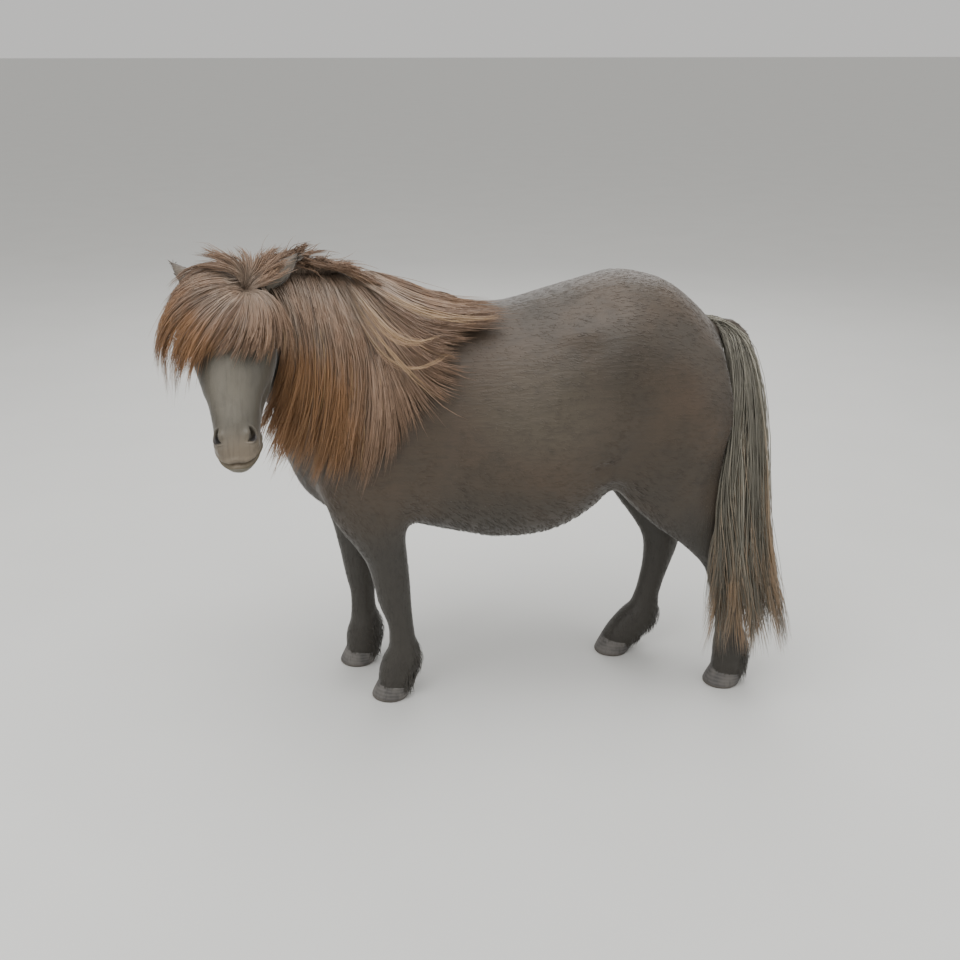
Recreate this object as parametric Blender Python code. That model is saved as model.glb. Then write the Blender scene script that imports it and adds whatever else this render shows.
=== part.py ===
# A Shetland pony, life size, standing with its head turned to its left side.
# Metres, +Z up. The pony faces -X, its left side is towards -Y, and it stands on the plane Z = 0.

import math

import bmesh
import bpy
import numpy as np
from mathutils import Matrix, Vector
from mathutils.bvhtree import BVHTree

# Driving sizes. The tables of rows below are in shares of CROUP, the height of the croup.
CROUP = 1.0
HEAD_LENGTH = 0.392
HOOF_LENGTH = 0.094
HOOF_WIDTH = 0.086
EAR_LENGTH = 0.106
EYE_RADIUS = 0.0175
GAP = 0.0004
CLEARANCE = 0.0005
SLIVER = 0.000002
FUSE_CELL = 0.0055
FILLET_REACH = 0.030
FLESH_TRIANGLES = 3900

# The trunk, from breast to buttocks: along X, top, bottom, half width, egg, squareness.
# A positive egg makes the section wider above than below.
TRUNK = [
    (-0.540, 0.690, 0.590, 0.060, 0.00, 2.0),
    (-0.505, 0.780, 0.520, 0.125, 0.00, 2.1),
    (-0.440, 0.870, 0.465, 0.165, 0.00, 2.2),
    (-0.360, 0.925, 0.440, 0.184, -0.05, 2.2),
    (-0.270, 0.945, 0.435, 0.200, -0.10, 2.2),
    (-0.170, 0.940, 0.415, 0.212, -0.12, 2.2),
    (-0.064, 0.933, 0.398, 0.226, -0.12, 2.2),
    (0.050, 0.962, 0.410, 0.232, -0.10, 2.2),
    (0.135, 0.985, 0.452, 0.224, -0.04, 2.2),
    (0.205, 0.998, 0.512, 0.216, 0.06, 2.2),
    (0.300, 0.978, 0.560, 0.196, 0.05, 2.2),
    (0.380, 0.930, 0.580, 0.174, 0.00, 2.2),
    (0.435, 0.870, 0.600, 0.135, 0.00, 2.1),
    (0.462, 0.790, 0.640, 0.070, 0.00, 2.0),
]

# The neck, from the shoulders to the skull: centre X, Y, Z, half depth, half width.
NECK = [
    (-0.190, 0.000, 0.720, 0.215, 0.130),
    (-0.320, -0.008, 0.770, 0.205, 0.120),
    (-0.420, -0.030, 0.825, 0.180, 0.102),
    (-0.505, -0.070, 0.880, 0.148, 0.084),
    (-0.570, -0.115, 0.925, 0.118, 0.070),
    (-0.600, -0.150, 0.945, 0.095, 0.060),
]

# Each leg, from the trunk to the coronet:
# centre X, Z, half length fore and aft, half width, distance from the midline.
NEAR_FORE = [
    (-0.320, 0.740, 0.140, 0.055, 0.130),
    (-0.345, 0.620, 0.135, 0.064, 0.135),
    (-0.348, 0.510, 0.100, 0.058, 0.128),
    (-0.336, 0.430, 0.064, 0.047, 0.112),
    (-0.322, 0.370, 0.050, 0.040, 0.100),
    (-0.312, 0.300, 0.044, 0.039, 0.090),
    (-0.307, 0.255, 0.041, 0.034, 0.087),
    (-0.296, 0.200, 0.033, 0.028, 0.085),
    (-0.292, 0.150, 0.034, 0.029, 0.084),
    (-0.290, 0.110, 0.045, 0.037, 0.083),
    (-0.303, 0.075, 0.046, 0.039, 0.083),
    (-0.311, 0.042, 0.044, 0.042, 0.083),
    (-0.316, 0.005, 0.045, 0.043, 0.083),
]
FAR_FORE = [
    (-0.330, 0.740, 0.140, 0.055, 0.130),
    (-0.372, 0.620, 0.135, 0.064, 0.135),
    (-0.395, 0.510, 0.100, 0.058, 0.128),
    (-0.408, 0.430, 0.064, 0.047, 0.112),
    (-0.403, 0.370, 0.050, 0.040, 0.100),
    (-0.393, 0.290, 0.044, 0.039, 0.090),
    (-0.390, 0.245, 0.040, 0.034, 0.087),
    (-0.387, 0.195, 0.033, 0.028, 0.085),
    (-0.386, 0.145, 0.034, 0.029, 0.084),
    (-0.382, 0.105, 0.044, 0.037, 0.083),
    (-0.388, 0.073, 0.046, 0.039, 0.083),
    (-0.392, 0.042, 0.044, 0.042, 0.083),
    (-0.396, 0.005, 0.045, 0.043, 0.083),
]
NEAR_HIND = [
    (0.290, 0.850, 0.140, 0.055, 0.105),
    (0.300, 0.720, 0.165, 0.082, 0.122),
    (0.312, 0.610, 0.148, 0.080, 0.122),
    (0.352, 0.510, 0.106, 0.066, 0.114),
    (0.408, 0.415, 0.062, 0.044, 0.106),
    (0.452, 0.350, 0.050, 0.036, 0.098),
    (0.470, 0.305, 0.047, 0.036, 0.093),
    (0.474, 0.250, 0.038, 0.031, 0.090),
    (0.484, 0.190, 0.032, 0.027, 0.089),
    (0.491, 0.150, 0.034, 0.029, 0.088),
    (0.500, 0.110, 0.045, 0.037, 0.088),
    (0.502, 0.075, 0.045, 0.039, 0.088),
    (0.499, 0.042, 0.044, 0.042, 0.088),
    (0.496, 0.005, 0.045, 0.043, 0.088),
]
FAR_HIND = [
    (0.280, 0.850, 0.140, 0.055, 0.105),
    (0.275, 0.720, 0.165, 0.082, 0.122),
    (0.272, 0.610, 0.148, 0.080, 0.122),
    (0.295, 0.510, 0.104, 0.066, 0.112),
    (0.325, 0.420, 0.070, 0.046, 0.100),
    (0.350, 0.355, 0.054, 0.038, 0.092),
    (0.358, 0.310, 0.048, 0.037, 0.088),
    (0.350, 0.250, 0.038, 0.031, 0.086),
    (0.337, 0.190, 0.033, 0.028, 0.085),
    (0.328, 0.145, 0.035, 0.030, 0.084),
    (0.320, 0.105, 0.046, 0.037, 0.083),
    (0.290, 0.073, 0.046, 0.039, 0.082),
    (0.266, 0.042, 0.044, 0.042, 0.082),
    (0.246, 0.005, 0.045, 0.043, 0.082),
]

# The head, in shares of HEAD_LENGTH from the poll to the lips:
# along, brow line, jaw line, half width, egg, squareness.
HEAD = [
    (-0.080, -0.080, -0.260, 0.090, 0.00, 2.0),
    (0.000, 0.000, -0.370, 0.150, 0.05, 2.2),
    (0.110, 0.040, -0.470, 0.182, 0.15, 2.4),
    (0.240, 0.062, -0.510, 0.200, 0.22, 2.4),
    (0.360, 0.058, -0.490, 0.206, 0.25, 2.4),
    (0.470, 0.040, -0.430, 0.188, 0.22, 2.4),
    (0.590, 0.015, -0.355, 0.156, 0.18, 2.4),
    (0.700, -0.010, -0.305, 0.128, 0.12, 2.4),
    (0.790, -0.025, -0.285, 0.118, 0.08, 2.4),
    (0.870, -0.045, -0.285, 0.122, 0.05, 2.3),
    (0.935, -0.075, -0.275, 0.112, 0.00, 2.2),
    (0.975, -0.110, -0.250, 0.092, 0.00, 2.1),
    (1.000, -0.150, -0.218, 0.050, 0.00, 2.0),
]

# Where the head hangs: the poll, and the way from poll to lips, in shares of CROUP.
POLL = (-0.612, -0.175, 1.035)
NOSE_WAY = (0.045, -0.670, -0.735)
HEAD_ROLL = math.radians(5)

# Cuts between the nodes, for the near side: a point on each plane, and the way out of what it cuts off.
FORE_PLANES = [
    ((-0.345, -0.105, 0.480), (0, 0.776, 0.630)),
    ((0, 0, 0), (0, 1, 0)),
    ((-0.215, 0, 0), (1, 0, 0)),
    ((-0.520, 0, 0), (-1, 0, 0)),
]
HIND_PLANES = [
    ((0.300, -0.115, 0.575), (-0.150, 0.700, 0.700)),
    ((0, 0, 0), (0, 1, 0)),
    ((0.175, 0, 0.480), (-0.940, 0, 0.340)),
]
NECK_PLANES = [((-0.315, 0, 0.785), (0.687, 0, -0.726))]
THROAT_CUT = (0, -0.06, 0)
THROAT_CUT_WAY = (0.20, 0.90, 0.40)

# Each leg: its rows, its side (-1 the near one), the cut from the trunk,
# the height of the cut at knee or hock.
LEGS = {
    "fore_left": (NEAR_FORE, -1, FORE_PLANES, 0.300),
    "fore_right": (FAR_FORE, 1, FORE_PLANES, 0.295),
    "hind_left": (NEAR_HIND, -1, HIND_PLANES, 0.330),
    "hind_right": (FAR_HIND, 1, HIND_PLANES, 0.335),
}

# The middle of each sole, X and Y.
HOOVES = {
    "fore_left": (-0.323, -0.083),
    "fore_right": (-0.404, 0.083),
    "hind_left": (0.486, -0.088),
    "hind_right": (0.247, 0.082),
}
HOOF_SIDES = 20
HOOF_LEAN = 0.016
HOOF_HEEL_SHARE = 0.86
CORONET_TOE = 0.047
CORONET_FALL = 0.14

# Eyes, ears and mouth, in shares of HEAD_LENGTH in the head's own frame.
EYE_AT = (0.182, 0.345, -0.085)
EYE_LOOK = (0.90, 0.12, 0.35)
EYE_SLANT = -0.25
EYE_OPENING = (0.030, 0.020)
LID_RADIUS = 0.0210
MOUTH_AT = (0.880, -0.205)
EAR_AT = (0.150, 0.045, -0.050)
EAR_WAYS = {"ear_left": (0.68, 0.60, 0.42), "ear_right": (-0.61, 0.72, 0.33)}
EAR_FACES = {"ear_left": (0.55, 0.50, -0.55), "ear_right": (-0.80, -0.20, -0.30)}
EAR_SIDES = 7
EAR_WALL = 0.0045

# An ear, from base to tip, in shares of its length: along, radius, how much of the round is open, bend.
EAR_ROWS = [
    (0.00, 0.180, 0.10, 0.00),
    (0.16, 0.205, 0.18, 0.01),
    (0.34, 0.220, 0.26, 0.02),
    (0.54, 0.200, 0.32, 0.03),
    (0.74, 0.145, 0.36, 0.02),
    (0.90, 0.080, 0.38, -0.01),
    (1.00, 0.022, 0.40, -0.05),
]

# The tail, from dock to tips: centre X, Y, Z, half length, half width.
TAIL = [
    (0.395, 0.000, 0.850, 0.024, 0.022),
    (0.445, -0.003, 0.864, 0.032, 0.030),
    (0.486, -0.015, 0.825, 0.038, 0.036),
    (0.494, -0.036, 0.740, 0.046, 0.042),
    (0.491, -0.068, 0.640, 0.056, 0.048),
    (0.486, -0.112, 0.520, 0.064, 0.052),
    (0.486, -0.144, 0.410, 0.072, 0.050),
    (0.494, -0.162, 0.310, 0.088, 0.044),
    (0.506, -0.168, 0.220, 0.104, 0.036),
    (0.516, -0.168, 0.140, 0.092, 0.024),
]

# Lines that the hair follows, from root to tip, in shares of CROUP. Locks are spread between neighbours.
MANE_NEAR = [
    [(-0.541, -0.165, 1.008), (-0.501, -0.188, 0.932), (-0.512, -0.190, 0.842),
     (-0.544, -0.190, 0.755), (-0.579, -0.190, 0.669)],
    [(-0.513, -0.125, 1.013), (-0.477, -0.170, 0.930), (-0.478, -0.184, 0.829),
     (-0.510, -0.190, 0.731), (-0.553, -0.190, 0.637)],
    [(-0.485, -0.095, 1.011), (-0.451, -0.151, 0.924), (-0.449, -0.177, 0.819),
     (-0.474, -0.185, 0.712), (-0.521, -0.190, 0.613)],
    [(-0.460, -0.070, 1.012), (-0.417, -0.137, 0.925), (-0.409, -0.174, 0.813),
     (-0.430, -0.191, 0.698), (-0.473, -0.195, 0.587)],
    [(-0.440, -0.050, 1.013), (-0.385, -0.125, 0.930), (-0.362, -0.172, 0.818),
     (-0.375, -0.192, 0.695), (-0.414, -0.198, 0.577)],
    [(-0.422, -0.035, 1.014), (-0.353, -0.107, 0.929), (-0.320, -0.169, 0.821),
     (-0.322, -0.196, 0.694), (-0.366, -0.200, 0.571)],
    [(-0.404, -0.025, 1.014), (-0.348, -0.089, 0.956), (-0.295, -0.141, 0.885),
     (-0.232, -0.179, 0.814), (-0.142, -0.200, 0.778)],
    [(-0.388, -0.020, 1.011), (-0.339, -0.064, 0.967), (-0.285, -0.108, 0.928),
     (-0.224, -0.148, 0.897), (-0.158, -0.165, 0.917)],
    [(-0.371, -0.015, 1.007), (-0.301, -0.052, 0.958), (-0.224, -0.092, 0.928),
     (-0.136, -0.117, 0.924), (-0.044, -0.120, 0.929)],
    [(-0.354, -0.010, 1.008), (-0.271, -0.026, 0.985), (-0.192, -0.035, 0.951),
     (-0.106, -0.040, 0.939), (-0.019, -0.040, 0.949)],
]
MANE_CREST = [
    [(-0.510, -0.100, 1.005), (-0.491, -0.100, 1.042), (-0.454, -0.105, 1.057),
     (-0.419, -0.116, 1.038), (-0.395, -0.125, 1.005)],
    [(-0.430, -0.030, 1.000), (-0.403, -0.036, 1.040), (-0.356, -0.047, 1.032),
     (-0.317, -0.056, 1.002), (-0.280, -0.065, 0.970)],
]
MANE_FAR = [
    [(-0.545, -0.080, 1.005), (-0.525, -0.009, 0.946), (-0.507, 0.035, 0.867),
     (-0.500, 0.067, 0.780), (-0.505, 0.095, 0.690)],
    [(-0.430, -0.015, 0.995), (-0.405, 0.064, 0.934), (-0.384, 0.115, 0.853),
     (-0.372, 0.141, 0.754), (-0.375, 0.165, 0.655)],
    [(-0.310, 0.000, 0.965), (-0.282, 0.071, 0.917), (-0.258, 0.128, 0.853),
     (-0.240, 0.169, 0.775), (-0.225, 0.195, 0.690)],
    [(-0.230, 0.000, 0.950), (-0.194, 0.046, 0.935), (-0.158, 0.087, 0.910),
     (-0.118, 0.123, 0.885), (-0.070, 0.150, 0.860)],
]

# The same for the forelock, in shares of HEAD_LENGTH in the head's frame.
FORELOCK = [
    [(-0.125, 0.094, 0.045), (-0.216, 0.165, 0.063), (-0.272, 0.258, 0.020),
     (-0.286, 0.354, -0.049), (-0.265, 0.448, -0.120)],
    [(-0.120, 0.099, 0.045), (-0.187, 0.193, 0.074), (-0.215, 0.304, 0.055),
     (-0.196, 0.418, 0.026), (-0.163, 0.531, -0.000)],
    [(-0.115, 0.104, 0.045), (-0.158, 0.209, 0.081), (-0.178, 0.324, 0.080),
     (-0.158, 0.440, 0.064), (-0.118, 0.552, 0.050)],
    [(-0.110, 0.109, 0.045), (-0.120, 0.217, 0.082), (-0.122, 0.331, 0.089),
     (-0.094, 0.441, 0.080), (-0.040, 0.542, 0.065)],
    [(-0.105, 0.109, 0.045), (-0.091, 0.219, 0.082), (-0.065, 0.333, 0.088),
     (-0.013, 0.437, 0.076), (0.056, 0.531, 0.060)],
    [(-0.105, 0.109, 0.045), (-0.067, 0.212, 0.083), (-0.014, 0.315, 0.088),
     (0.049, 0.414, 0.077), (0.110, 0.510, 0.050)],
    [(-0.100, 0.109, 0.045), (-0.021, 0.224, 0.089), (0.065, 0.346, 0.091),
     (0.141, 0.467, 0.057), (0.198, 0.581, -0.020)],
    [(-0.096, 0.097, 0.045), (0.015, 0.207, 0.096), (0.128, 0.330, 0.090),
     (0.226, 0.452, 0.033), (0.298, 0.584, -0.040)],
    [(-0.096, 0.086, 0.045), (0.025, 0.174, 0.105), (0.163, 0.257, 0.091),
     (0.286, 0.351, 0.043), (0.372, 0.469, -0.030)],
    [(-0.112, 0.067, 0.050), (0.056, 0.102, 0.117), (0.243, 0.139, 0.064),
     (0.358, 0.274, -0.018), (0.426, 0.451, -0.080)],
    [(-0.050, -0.030, 0.000), (0.032, -0.045, 0.059), (0.124, -0.035, 0.070),
     (0.215, -0.003, 0.045), (0.290, 0.050, 0.000)],
]

# The size of the locks of each part, in metres, and how many there are.
MANE_LOCK = {"width": 0.044, "thickness": 0.0068, "lift": 0.0050}
FORELOCK_LOCK = {"width": 0.034, "thickness": 0.0060, "lift": 0.0045}
TAIL_LOCK = {"width": 0.064, "thickness": 0.0100}
MANE_NEAR_SPREAD = [(0.0, 5.2, 18), (5.2, 7.4, 5), (7.4, 9.0, 4)]
MANE_FAR_SPREAD = [(0.0, 3.0, 10)]
CREST_SPREAD = [(0.0, 1.0, 4)]
FORELOCK_SPREAD = [(0.0, 9.3, 15), (9.3, 10.0, 2)]
TAIL_LOCKS = 12
LAYERS = 3
LAYER_LIFT = 0.0085
ROOT_DEPTH = 0.012
LOCK_STEPS = 6
LOCK_ROOT = 0.45
TAIL_CLEAR = 0.012
SETTLING_TURNS = 3
GOLDEN_TURN = math.pi * (3 - math.sqrt(5))
GOLDEN_SHARE = (math.sqrt(5) - 1) / 2
HAIR_SEED = 7

# Colours and roughness of each kind of surface.
MATERIALS = {
    "hoof": ((0.075, 0.072, 0.068), 0.55),
    "eye": ((0.012, 0.008, 0.006), 0.08),
    "ear": ((0.050, 0.042, 0.038), 0.75),
    "tail": ((0.030, 0.025, 0.022), 0.60),
    "neck": ((0.070, 0.035, 0.020), 0.60),
    "coat": ((0.035, 0.028, 0.024), 0.65),
}

# How far the fillets between trunk, neck, head and legs are eased.
FILLET_TURNS = 90

# How readily a place loses triangles, against 1 for the trunk.
HEAD_EASE = 0.6
LEG_EASE = 0.9
LEG_DETAIL_TOP = 0.42
EASE_FACTOR = 0.002


def clear_scene():
    for old in list(bpy.data.objects):
        bpy.data.objects.remove(old, do_unlink=True)


def material(name, colour, roughness):
    made = bpy.data.materials.new(name)
    made.use_nodes = True
    shader = made.node_tree.nodes["Principled BSDF"]
    shader.inputs["Base Color"].default_value = (*colour, 1)
    shader.inputs["Roughness"].default_value = roughness
    shader.inputs["Metallic"].default_value = 0
    return made


def add_object(name, mesh):
    made = bpy.data.objects.new(name, mesh)
    bpy.context.scene.collection.objects.link(made)
    return made


def drop(*objects):
    for old in objects:
        bpy.data.objects.remove(old, do_unlink=True)


def evaluated_mesh(obj):
    graph = bpy.context.evaluated_depsgraph_get()
    return bpy.data.meshes.new_from_object(obj.evaluated_get(graph))


def apply_modifiers(obj):
    bpy.context.view_layer.update()
    mesh = evaluated_mesh(obj)
    obj.modifiers.clear()
    obj.data = mesh
    return obj


def resampled(rows, count):
    """The rows again at `count` even steps, on a smooth curve through them."""
    rows = np.array(rows, float)
    ends = np.vstack([2 * rows[0] - rows[1], rows, 2 * rows[-1] - rows[-2]])
    steps = np.linspace(0, len(rows) - 1.0001, count)
    first = steps.astype(int)
    t = (steps - first)[:, None]
    a, b, c, d = (ends[first + k] for k in range(4))
    return 0.5 * (2 * b + (c - a) * t + (2 * a - 5 * b + 4 * c - d) * t**2 + (3 * b - a - 3 * c + d) * t**3)


def section(half_width, half_depth, egg, square, sides):
    """Points of an egg-shaped section: across, then up."""
    turn = np.linspace(0, 2 * math.pi, sides, endpoint=False)
    across = np.sign(np.cos(turn)) * np.abs(np.cos(turn)) ** (2 / square)
    up = np.sign(np.sin(turn)) * np.abs(np.sin(turn)) ** (2 / square)
    return across * half_width * (1 + egg * up), up * half_depth


def loft(name, centres, across, up, sections):
    """One closed body through a section at each centre. across and up are each section's own directions."""
    bm = bmesh.new()
    rings = []
    for centre, side, rise, (u, v) in zip(centres, across, up, sections):
        points = centre + np.outer(u, side) + np.outer(v, rise)
        rings.append([bm.verts.new(p) for p in points])
    for lower, upper in zip(rings, rings[1:]):
        for i in range(len(lower)):
            j = (i + 1) % len(lower)
            bm.faces.new((lower[i], lower[j], upper[j], upper[i]))
    bm.faces.new(rings[0][::-1])
    bm.faces.new(rings[-1])
    bmesh.ops.recalc_face_normals(bm, faces=bm.faces)
    mesh = bpy.data.meshes.new(name)
    bm.to_mesh(mesh)
    bm.free()
    return add_object(name, mesh)


def trunk_form():
    rows = resampled(TRUNK, 48) * [CROUP, CROUP, CROUP, CROUP, 1, 1]
    centres = [(x, 0, (top + bottom) / 2) for x, top, bottom, *_ in rows]
    sections = [section(wide, (top - bottom) / 2, egg, sq, 40) for _, top, bottom, wide, egg, sq in rows]
    across = [(0, 1, 0)] * len(rows)
    up = [(0, 0, 1)] * len(rows)
    return loft("trunk_form", np.array(centres), np.array(across), np.array(up), sections)


def neck_form():
    rows = resampled(NECK, 24) * CROUP
    way = np.gradient(rows[:, :3], axis=0)
    way /= np.linalg.norm(way, axis=1)[:, None]
    up = np.array([0, 0, 1]) - way * way[:, 2:3]
    up /= np.linalg.norm(up, axis=1)[:, None]
    across = np.cross(up, way)
    sections = [section(wide, deep, -0.12, 2.1, 32) for *_, deep, wide in rows]
    return loft("neck_form", rows[:, :3], across, up, sections)


def leg_form(name, table, side):
    rows = resampled(table, 44) * CROUP
    centres = np.array([(x, side * out, z) for x, z, _, _, out in rows])
    way = np.gradient(centres, axis=0)
    way /= np.linalg.norm(way, axis=1)[:, None]
    fore = np.array([1, 0, 0]) - way * way[:, 0:1]
    fore /= np.linalg.norm(fore, axis=1)[:, None]
    across = np.cross(fore, way)
    sections = [section(wide, long, 0, 2.1, 28) for _, _, long, wide, _ in rows]
    return loft(name, centres, across, fore, sections)


def head_frame():
    """The head's own axes in the pony's: X to one cheek, Y down the nose, Z out of the brow."""
    nose = Vector(NOSE_WAY).normalized()
    brow = (Vector((0, 0, 1)) - nose * nose.z).normalized()
    brow.rotate(Matrix.Rotation(HEAD_ROLL, 3, nose))
    cheek = nose.cross(brow)
    turn = Matrix((cheek, nose, brow)).transposed().to_4x4()
    return Matrix.Translation(Vector(POLL) * CROUP) @ turn


def head_form():
    rows = resampled(HEAD, 40) * [HEAD_LENGTH, HEAD_LENGTH, HEAD_LENGTH, HEAD_LENGTH, 1, 1]
    centres = np.array([(0, along, (top + bottom) / 2) for along, top, bottom, *_ in rows])
    sections = [section(wide, (top - bottom) / 2, egg, sq, 36) for _, top, bottom, wide, egg, sq in rows]
    across = np.array([(1, 0, 0)] * len(rows))
    up = np.array([(0, 0, 1)] * len(rows))
    made = loft("head_form", centres, across, up, sections)
    made.data.transform(head_frame())
    return made


def blob(name, centre, radii, frame=None, cuts=3):
    """An ellipsoid, to be fused into a form."""
    bm = bmesh.new()
    bmesh.ops.create_icosphere(bm, subdivisions=cuts, radius=1)
    bmesh.ops.transform(bm, matrix=Matrix.Diagonal((*radii, 1)), verts=bm.verts)
    bmesh.ops.translate(bm, vec=centre, verts=bm.verts)
    if frame is not None:
        bmesh.ops.transform(bm, matrix=frame, verts=bm.verts)
    mesh = bpy.data.meshes.new(name)
    bm.to_mesh(mesh)
    bm.free()
    return add_object(name, mesh)


def joined(name, parts):
    """One object holding the meshes of all the parts, which are removed."""
    bm = bmesh.new()
    for part in parts:
        bm.from_mesh(part.data)
    mesh = bpy.data.meshes.new(name)
    bm.to_mesh(mesh)
    bm.free()
    drop(*parts)
    return add_object(name, mesh)


def tree_of(obj):
    return BVHTree.FromPolygons([v.co for v in obj.data.vertices], [p.vertices for p in obj.data.polygons])


def set_group(obj, name, weights):
    group = obj.vertex_groups.new(name=name)
    for index, weight in enumerate(weights):
        group.add([index], float(weight), "REPLACE")
    return group.name


def fused(name, forms, cell, reach, fillet_turns):
    """The forms as one skin, with a fillet wherever two of them meet."""
    trees = [tree_of(form) for form in forms]
    made = joined(name, forms)
    remesh = made.modifiers.new("Fuse", "REMESH")
    remesh.mode = "VOXEL"
    remesh.voxel_size = cell
    apply_modifiers(made)
    weights = []
    for vertex in made.data.vertices:
        near = sorted(tree.find_nearest(vertex.co)[3] for tree in trees)[1]
        share = max(0, 1 - near / reach)
        weights.append(0.06 + 0.94 * share * share * (3 - 2 * share))
    fillet = made.modifiers.new("Fillet", "SMOOTH")
    fillet.vertex_group = set_group(made, "fillet", weights)
    fillet.factor = 0.5
    fillet.iterations = fillet_turns
    apply_modifiers(made)
    made.vertex_groups.clear()
    return made


def boolean(target, other, operation, solver="EXACT"):
    cut = target.modifiers.new(operation.title(), "BOOLEAN")
    cut.operation = operation
    cut.object = other
    cut.solver = solver
    return apply_modifiers(target)


def copy_of(obj, name):
    made = add_object(name, obj.data.copy())
    return made


def grown(obj, distance):
    made = copy_of(obj, obj.name + "_grown")
    swelling = made.modifiers.new("Grow", "DISPLACE")
    swelling.strength = distance
    swelling.mid_level = 0
    return apply_modifiers(made)


def region(name, planes, spread=0):
    """The convex room behind every plane. A plane is a point on it and its way out."""
    bm = bmesh.new()
    bmesh.ops.create_cube(bm, size=4)
    for point, way in planes:
        way = Vector(way).normalized()
        everything = bm.verts[:] + bm.edges[:] + bm.faces[:]
        place = Vector(point) * CROUP + way * spread
        bmesh.ops.bisect_plane(bm, geom=everything, plane_co=place, plane_no=way, clear_outer=True)
        bmesh.ops.holes_fill(bm, edges=[edge for edge in bm.edges if edge.is_boundary])
    bmesh.ops.recalc_face_normals(bm, faces=bm.faces)
    mesh = bpy.data.meshes.new(name)
    bm.to_mesh(mesh)
    bm.free()
    return add_object(name, mesh)


def taken(body, name, planes):
    """Cuts what a region holds out of the body, as an object of its own with a thin gap between them."""
    inside = region(name + "_inside", planes)
    around = region(name + "_around", planes, GAP)
    piece = copy_of(body, name)
    boolean(piece, inside, "INTERSECT")
    boolean(body, around, "DIFFERENCE")
    keep_largest(piece)
    keep_largest(body)
    drop(inside, around)
    return piece


def keep_largest(obj):
    """Leaves only the closed surface with the most volume."""
    bm = bmesh.new()
    bm.from_mesh(obj.data)
    bmesh.ops.dissolve_degenerate(bm, dist=SLIVER, edges=bm.edges)
    bmesh.ops.triangulate(bm, faces=[face for face in bm.faces if len(face.verts) > 3])
    unseen = set(bm.faces)
    bodies = []
    while unseen:
        queue = [unseen.pop()]
        body = []
        while queue:
            face = queue.pop()
            body.append(face)
            for edge in face.edges:
                if len(edge.link_faces) != 2:
                    continue
                for other in edge.link_faces:
                    if other in unseen:
                        unseen.remove(other)
                        queue.append(other)
        bodies.append(body)
    size = [sum(abs(f.calc_area()) for f in body) for body in bodies]
    best = size.index(max(size))
    for index, body in enumerate(bodies):
        if index != best:
            bmesh.ops.delete(bm, geom=body, context="FACES")
    loose = [v for v in bm.verts if not v.link_faces]
    bmesh.ops.delete(bm, geom=loose, context="VERTS")
    bm.to_mesh(obj.data)
    bm.free()


def flesh_form():
    """The whole body as one skin, coarser where it is plain."""
    forms = [trunk_form(), neck_form(), head_form()]
    forms += [leg_form(name, *LEGS[name][:2]) for name in LEGS]
    forms.append(blob("chin", (0, 0.915, -0.250), (0.070, 0.070, 0.055), head_scale()))
    for side in (-1, 1):
        forms.append(blob("nostril", (side * 0.072, 0.870, -0.110), (0.052, 0.085, 0.060), head_scale()))
        forms.append(blob("cheek", (side * 0.085, 0.230, -0.300), (0.105, 0.200, 0.190), head_scale()))
    return fused("flesh", forms, FUSE_CELL, FILLET_REACH, FILLET_TURNS)


def head_scale():
    return head_frame() @ Matrix.Scale(HEAD_LENGTH, 4)


def thinned(obj, triangles):
    """Fewer triangles, with more of them left on the head and the lower legs."""
    to_head = head_frame().inverted()
    ease = []
    for vertex in obj.data.vertices:
        place = to_head @ vertex.co
        on_head = place.y > -0.05 * HEAD_LENGTH and place.length < 1.1 * HEAD_LENGTH
        ease.append(HEAD_EASE if on_head else LEG_EASE if vertex.co.z < LEG_DETAIL_TOP * CROUP else 1)
    thin = obj.modifiers.new("Thin", "DECIMATE")
    thin.use_collapse_triangulate = True
    thin.vertex_group = set_group(obj, "ease", ease)
    thin.vertex_group_factor = EASE_FACTOR
    thin.ratio = triangles / sum(len(face.vertices) - 2 for face in obj.data.polygons)
    apply_modifiers(obj)
    obj.vertex_groups.clear()
    return obj


def mirrored(planes):
    return [((x, -y, z), (u, -v, w)) for (x, y, z), (u, v, w) in planes]


def head_planes():
    """The cut from behind the poll to the throat, across the head's own frame."""
    frame = head_scale()
    out = frame.to_3x3() @ Vector(THROAT_CUT_WAY)
    return [(frame @ Vector(THROAT_CUT) / CROUP, -out)]


def sole_planes(name):
    """Below the coronet, which is lower at the heel."""
    toe, _ = hoof_ends(name)
    way = Vector((CORONET_FALL, 0, 1))
    return [((toe.x / CROUP, 0, CORONET_TOE / CROUP), way)]


def hoof_ends(name):
    rows, side = LEGS[name][:2]
    x, y = HOOVES[name]
    centre = Vector((x, y, 0)) * CROUP
    half = Vector((HOOF_LENGTH / 2, 0, 0))
    return centre - half, centre + half


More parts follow.
